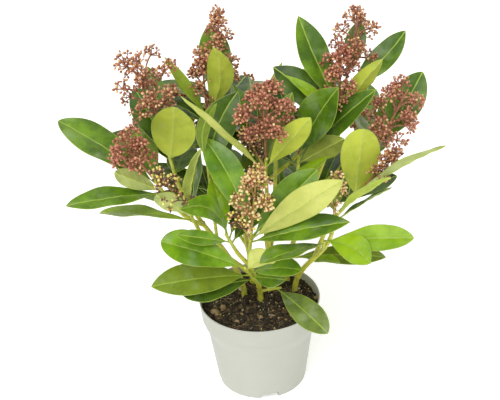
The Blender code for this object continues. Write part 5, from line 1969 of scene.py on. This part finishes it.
@dataclass
class PottingSoil:
    """The peat that fills the pot, with its bark chips, fibres and grains."""

    top: float = SOIL_TOP
    edge_drop: float = 0.0016
    flat: float = 0.048
    radius: float = 0.0578
    floor: float = 0.0068
    rings: int = 46
    segments: int = 150
    roughness: float = 0.0030
    chips: int = 900
    clods: int = 70
    fibres: int = 300
    grains: int = 130
    seed: int = 5
    shown_clods: tuple = SHOWN_CLODS

    def level(self, x: float, y: float) -> float:
        """Return the height of the peat's surface at a place."""
        reach = math.hypot(x, y)
        drop = self.edge_drop * max(0.0, (reach - self.flat) / (self.radius - self.flat))
        lumps = noise.fractal(Vector((x * 95, y * 95, 0.3)), 0.7, 2.1, 5)
        mound = 0.0016 * math.exp(-((reach / 0.030) ** 2))
        return self.top - drop + mound + self.roughness * lumps * 0.75

    def make_body(self) -> bpy.types.Object:
        """Build the piece that stands for the soil."""
        turn = np.linspace(0, 2 * np.pi, self.segments, endpoint=False)
        rows = []
        for reach in np.linspace(0, 1, self.rings) ** 0.8 * self.radius:
            reach = max(reach, 1e-5)
            row = [(reach * math.cos(t), reach * math.sin(t), self.level(reach * math.cos(t), reach * math.sin(t)))
                   for t in turn]
            rows.append(np.array(row))
        for reach, height in ((0.0563, 0.074), (0.0505, 0.057), (0.0415, 0.0078), (0.0370, self.floor), (1e-5, self.floor)):
            rows.append(np.stack((np.cos(turn) * reach, np.sin(turn) * reach, np.full_like(turn, height)), 1))
        corners = np.concatenate(rows)[:, :]
        faces = grid_faces(len(rows), self.segments)[:, ::-1]
        pile = Pile("soil_body", [Earth().make()])
        pile.add(Shape(corners, (faces,)), 0)
        return pile.make("soil", ["soil"])

    def spot(self, draw: random.Random, reach: float = 0.985) -> Array:
        """Return a random place on the surface."""
        out = self.radius * reach * math.sqrt(draw.random())
        turn = draw.uniform(0, 2 * math.pi)
        x, y = out * math.cos(turn), out * math.sin(turn)
        return np.array((x, y, self.level(x, y)))

    @staticmethod
    def lump(draw: random.Random, flatness: float) -> Shape:
        """Return an irregular chunk of radius about one.

        Args:
            draw: Random numbers.
            flatness: Its height as a share of its width.

        Returns:
            The chunk.
        """
        rows = []
        for height, reach in ((-0.75, 0.55), (-0.1, 1.0), (0.6, 0.72)):
            rows.append(np.array([
                (math.cos(t) * reach * draw.uniform(0.7, 1.2), math.sin(t) * reach * draw.uniform(0.6, 1.15),
                 height * flatness * draw.uniform(0.8, 1.2)) for t in np.linspace(0, 5.24, 6)]))
        corners = np.concatenate(rows + [np.array(((0, 0, -flatness), (0.1, 0, flatness)))])
        index = np.arange(6)
        after = (index + 1) % 6
        caps = np.concatenate((np.stack((np.full(6, 18), after, index), 1),
                               np.stack((np.full(6, 19), 12 + index, 12 + after), 1)))
        return Shape(corners, (grid_faces(3, 6), caps))

    def make_crumbs(self) -> bpy.types.Object:
        """Build the chips, fibres and grains that lie on the peat."""
        draw = random.Random(self.seed)
        tones = list(CrumbTone)
        pile = Pile("soil_crumbs", [CRUMB_FINISHES[tone].make() for tone in tones])
        weights = {CrumbTone.PEAT: 0.66, CrumbTone.BARK: 0.24, CrumbTone.CORK: 0.07, CrumbTone.LIME: 0.03}
        for _ in range(self.chips):
            tone = draw.choices(list(weights), weights=list(weights.values()))[0]
            size = draw.uniform(0.0006, 0.0016) if draw.random() < 0.8 else draw.uniform(0.0016, 0.0034)
            place = self.spot(draw, 0.975)
            axis = unit(np.array((draw.gauss(0, 0.5), draw.gauss(0, 0.5), 1.0)))
            lump = self.lump(draw, draw.uniform(0.4, 0.9))
            shape = lump.scattered(place[None] + (0, 0, size * 0.25), axis[None], np.array([size]),
                                   np.array([draw.uniform(0, 6.28)]))
            pile.add(shape, tones.index(tone))
        for _ in range(self.clods):
            tone = draw.choices((CrumbTone.PEAT, CrumbTone.BARK, CrumbTone.CORK), (0.55, 0.30, 0.15))[0]
            self.add_clod(pile, draw, self.spot(draw, 0.93), draw.uniform(0.0022, 0.0042), tones.index(tone))
        for (x, y), size, tone in self.shown_clods:
            self.add_clod(pile, draw, np.array((x, y, self.level(x, y))), size, tones.index(tone))
        for _ in range(self.fibres):
            self.add_fibre(pile, draw, tones)
        for _ in range(self.grains):
            size = draw.uniform(0.0006, 0.0010)
            place = self.spot(draw, 0.95) + (0, 0, size * 0.5)
            tone = CrumbTone.GRAIN if draw.random() < 0.75 else CrumbTone.LIME
            shape = self.lump(draw, 0.9).scattered(place[None], np.array([[0.0, 0.2, 1.0]]), np.array([size]),
                                                   np.array([draw.uniform(0, 6.28)]))
            pile.add(shape, tones.index(tone))
        return pile.make("soil")

    def add_clod(self, pile: Pile, draw: random.Random, place: Array, size: float, slot: int) -> None:
        """Add one larger chunk that sits in the peat.

        Args:
            pile: The crumbs.
            draw: Random numbers.
            place: Where it lies.
            size: Its radius.
            slot: The number of its colour.
        """
        axis = unit(np.array((draw.gauss(0, 0.4), draw.gauss(0, 0.4), 1.0)))
        lump = self.lump(draw, draw.uniform(0.45, 0.8))
        pile.add(lump.scattered(place[None] + (0, 0, size * 0.18), axis[None], np.array([size]),
                                np.array([draw.uniform(0, 6.28)])), slot)

    def add_fibre(self, pile: Pile, draw: random.Random, tones: list[CrumbTone]) -> None:
        """Add one fine bent fibre that lies on the peat.

        Args:
            pile: The crumbs.
            draw: Random numbers.
            tones: The crumbs' colours in the order of their slots.
        """
        middle = self.spot(draw, 0.85)
        turn = draw.uniform(0, 6.28)
        along = np.array((math.cos(turn), math.sin(turn), draw.uniform(-0.1, 0.3)))
        aside = np.array((-math.sin(turn), math.cos(turn), 0)) * draw.uniform(-0.35, 0.35)
        length = draw.uniform(0.004, 0.014)
        share = np.linspace(-0.5, 0.5, 7)[:, None]
        points = middle + along * length * share + aside * length * (0.25 - share**2) * 2
        points[:, 2] += 0.0006 + 0.0012 * (0.25 - share[:, 0] ** 2) * 4 * draw.random()
        radii = np.full(7, draw.uniform(0.00010, 0.00022))
        tone = draw.choice((CrumbTone.STRAW, CrumbTone.CORK, CrumbTone.BARK))
        pile.add(tube(points, radii, 4), tones.index(tone))


# Floor, light and camera

@dataclass
class Studio:
    """A plain pale floor, soft light, and the camera at the photograph's angle."""

    floor_size: float = 8.0
    elevation: float = 31.0
    distance: float = 1.30
    lens: float = 98.5
    tilt: float = 2.5             # degrees that the picture's right side rises
    aim: tuple[float, float, float] = (-0.0052, 0.0, 0.2055)
    world_strength: float = 0.56

    def make_floor(self) -> None:
        """Lay the floor under the pot."""
        half = self.floor_size / 2
        mesh = bpy.data.meshes.new("floor")
        mesh.from_pydata([(-half, -half, 0), (half, -half, 0), (half, half, 0), (-half, half, 0)],
                         [], [(0, 1, 2, 3)])
        mesh.materials.append(StudioFloor().make())
        floor = bpy.data.objects.new("floor", mesh)
        bpy.context.scene.collection.objects.link(floor)
        floor.location.z = -0.0004
        floor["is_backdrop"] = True

    def make_world(self) -> None:
        """Fill the room with even white light."""
        world = bpy.data.worlds.new("studio")
        bpy.context.scene.world = world
        world.use_nodes = True
        back = world.node_tree.nodes["Background"]
        back.inputs["Color"].default_value = (1.0, 1.0, 1.0, 1)
        back.inputs["Strength"].default_value = self.world_strength

    def add_light(self, name: str, way: tuple[float, float, float], softness: float, power: float) -> None:
        """Hang a wide soft lamp far off, so that it falls evenly on plant and floor.

        Args:
            name: Its name.
            way: The direction from the plant to the lamp.
            softness: The angle that it fills, in degrees.
            power: Its power in watts a square metre.
        """
        lamp = bpy.data.lights.new(name, "SUN")
        lamp.angle = math.radians(softness)
        lamp.energy = power
        hung = bpy.data.objects.new(name, lamp)
        bpy.context.scene.collection.objects.link(hung)
        hung.location = way
        hung.rotation_mode = "QUATERNION"
        hung.rotation_quaternion = Vector(way).to_track_quat("Z", "Y")

    def make_lights(self) -> None:
        """Hang the lamps."""
        self.add_light("key", (-0.32, -0.75, 1.0), 60, 2.15)
        self.add_light("back", (0.5, 0.9, 0.9), 80, 0.60)

    def make_camera(self) -> None:
        """Place the camera, turned about its own axis as the photograph is."""
        rise = math.radians(self.elevation)
        back = np.array((0.0, -math.cos(rise), math.sin(rise)))
        right = np.array((1.0, 0.0, 0.0))
        up = np.cross(back, right)
        tilt = math.radians(self.tilt)
        turned_right = right * math.cos(tilt) - up * math.sin(tilt)
        turned_up = up * math.cos(tilt) + right * math.sin(tilt)
        place = np.array(self.aim) + back * self.distance
        data = bpy.data.cameras.new("camera")
        data.lens = self.lens
        data.sensor_width = 36.0
        data.clip_start = 0.01
        camera = bpy.data.objects.new("camera", data)
        bpy.context.scene.collection.objects.link(camera)
        columns = np.eye(4)
        columns[:3, 0], columns[:3, 1], columns[:3, 2], columns[:3, 3] = turned_right, turned_up, back, place
        camera.matrix_world = Matrix(columns.tolist())
        bpy.context.scene.camera = camera

    def make(self) -> None:
        """Build floor, light and camera, and show colours as they are."""
        self.make_floor()
        self.make_world()
        self.make_lights()
        self.make_camera()
        bpy.context.scene.view_settings.view_transform = "Standard"


def write_sizes() -> None:
    """Write the solids' box and the visual model's box."""
    boxes = {"cad": CAD_BOX, "visual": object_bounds()}
    {name: [list(corner) for corner in box] for name, box in boxes.items()}


def main() -> None:
    """Build the studio, the pot, the soil, the limbs and the crown."""
    logging.basicConfig(level=logging.INFO, format="%(name)s: %(message)s")
    Studio().make()
    NurseryPot().make()
    soil = PottingSoil()
    soil.make_body()
    soil.make_crumbs()
    framework = Framework()
    framework.lay({shoot.name: shoot for shoot in SHOOTS})
    framework.make()
    crown = Crown(framework, Palette().fill())
    crown.grow(SHOOTS)
    crown.make()
    write_sizes()


if __name__ == "__main__":
    main()
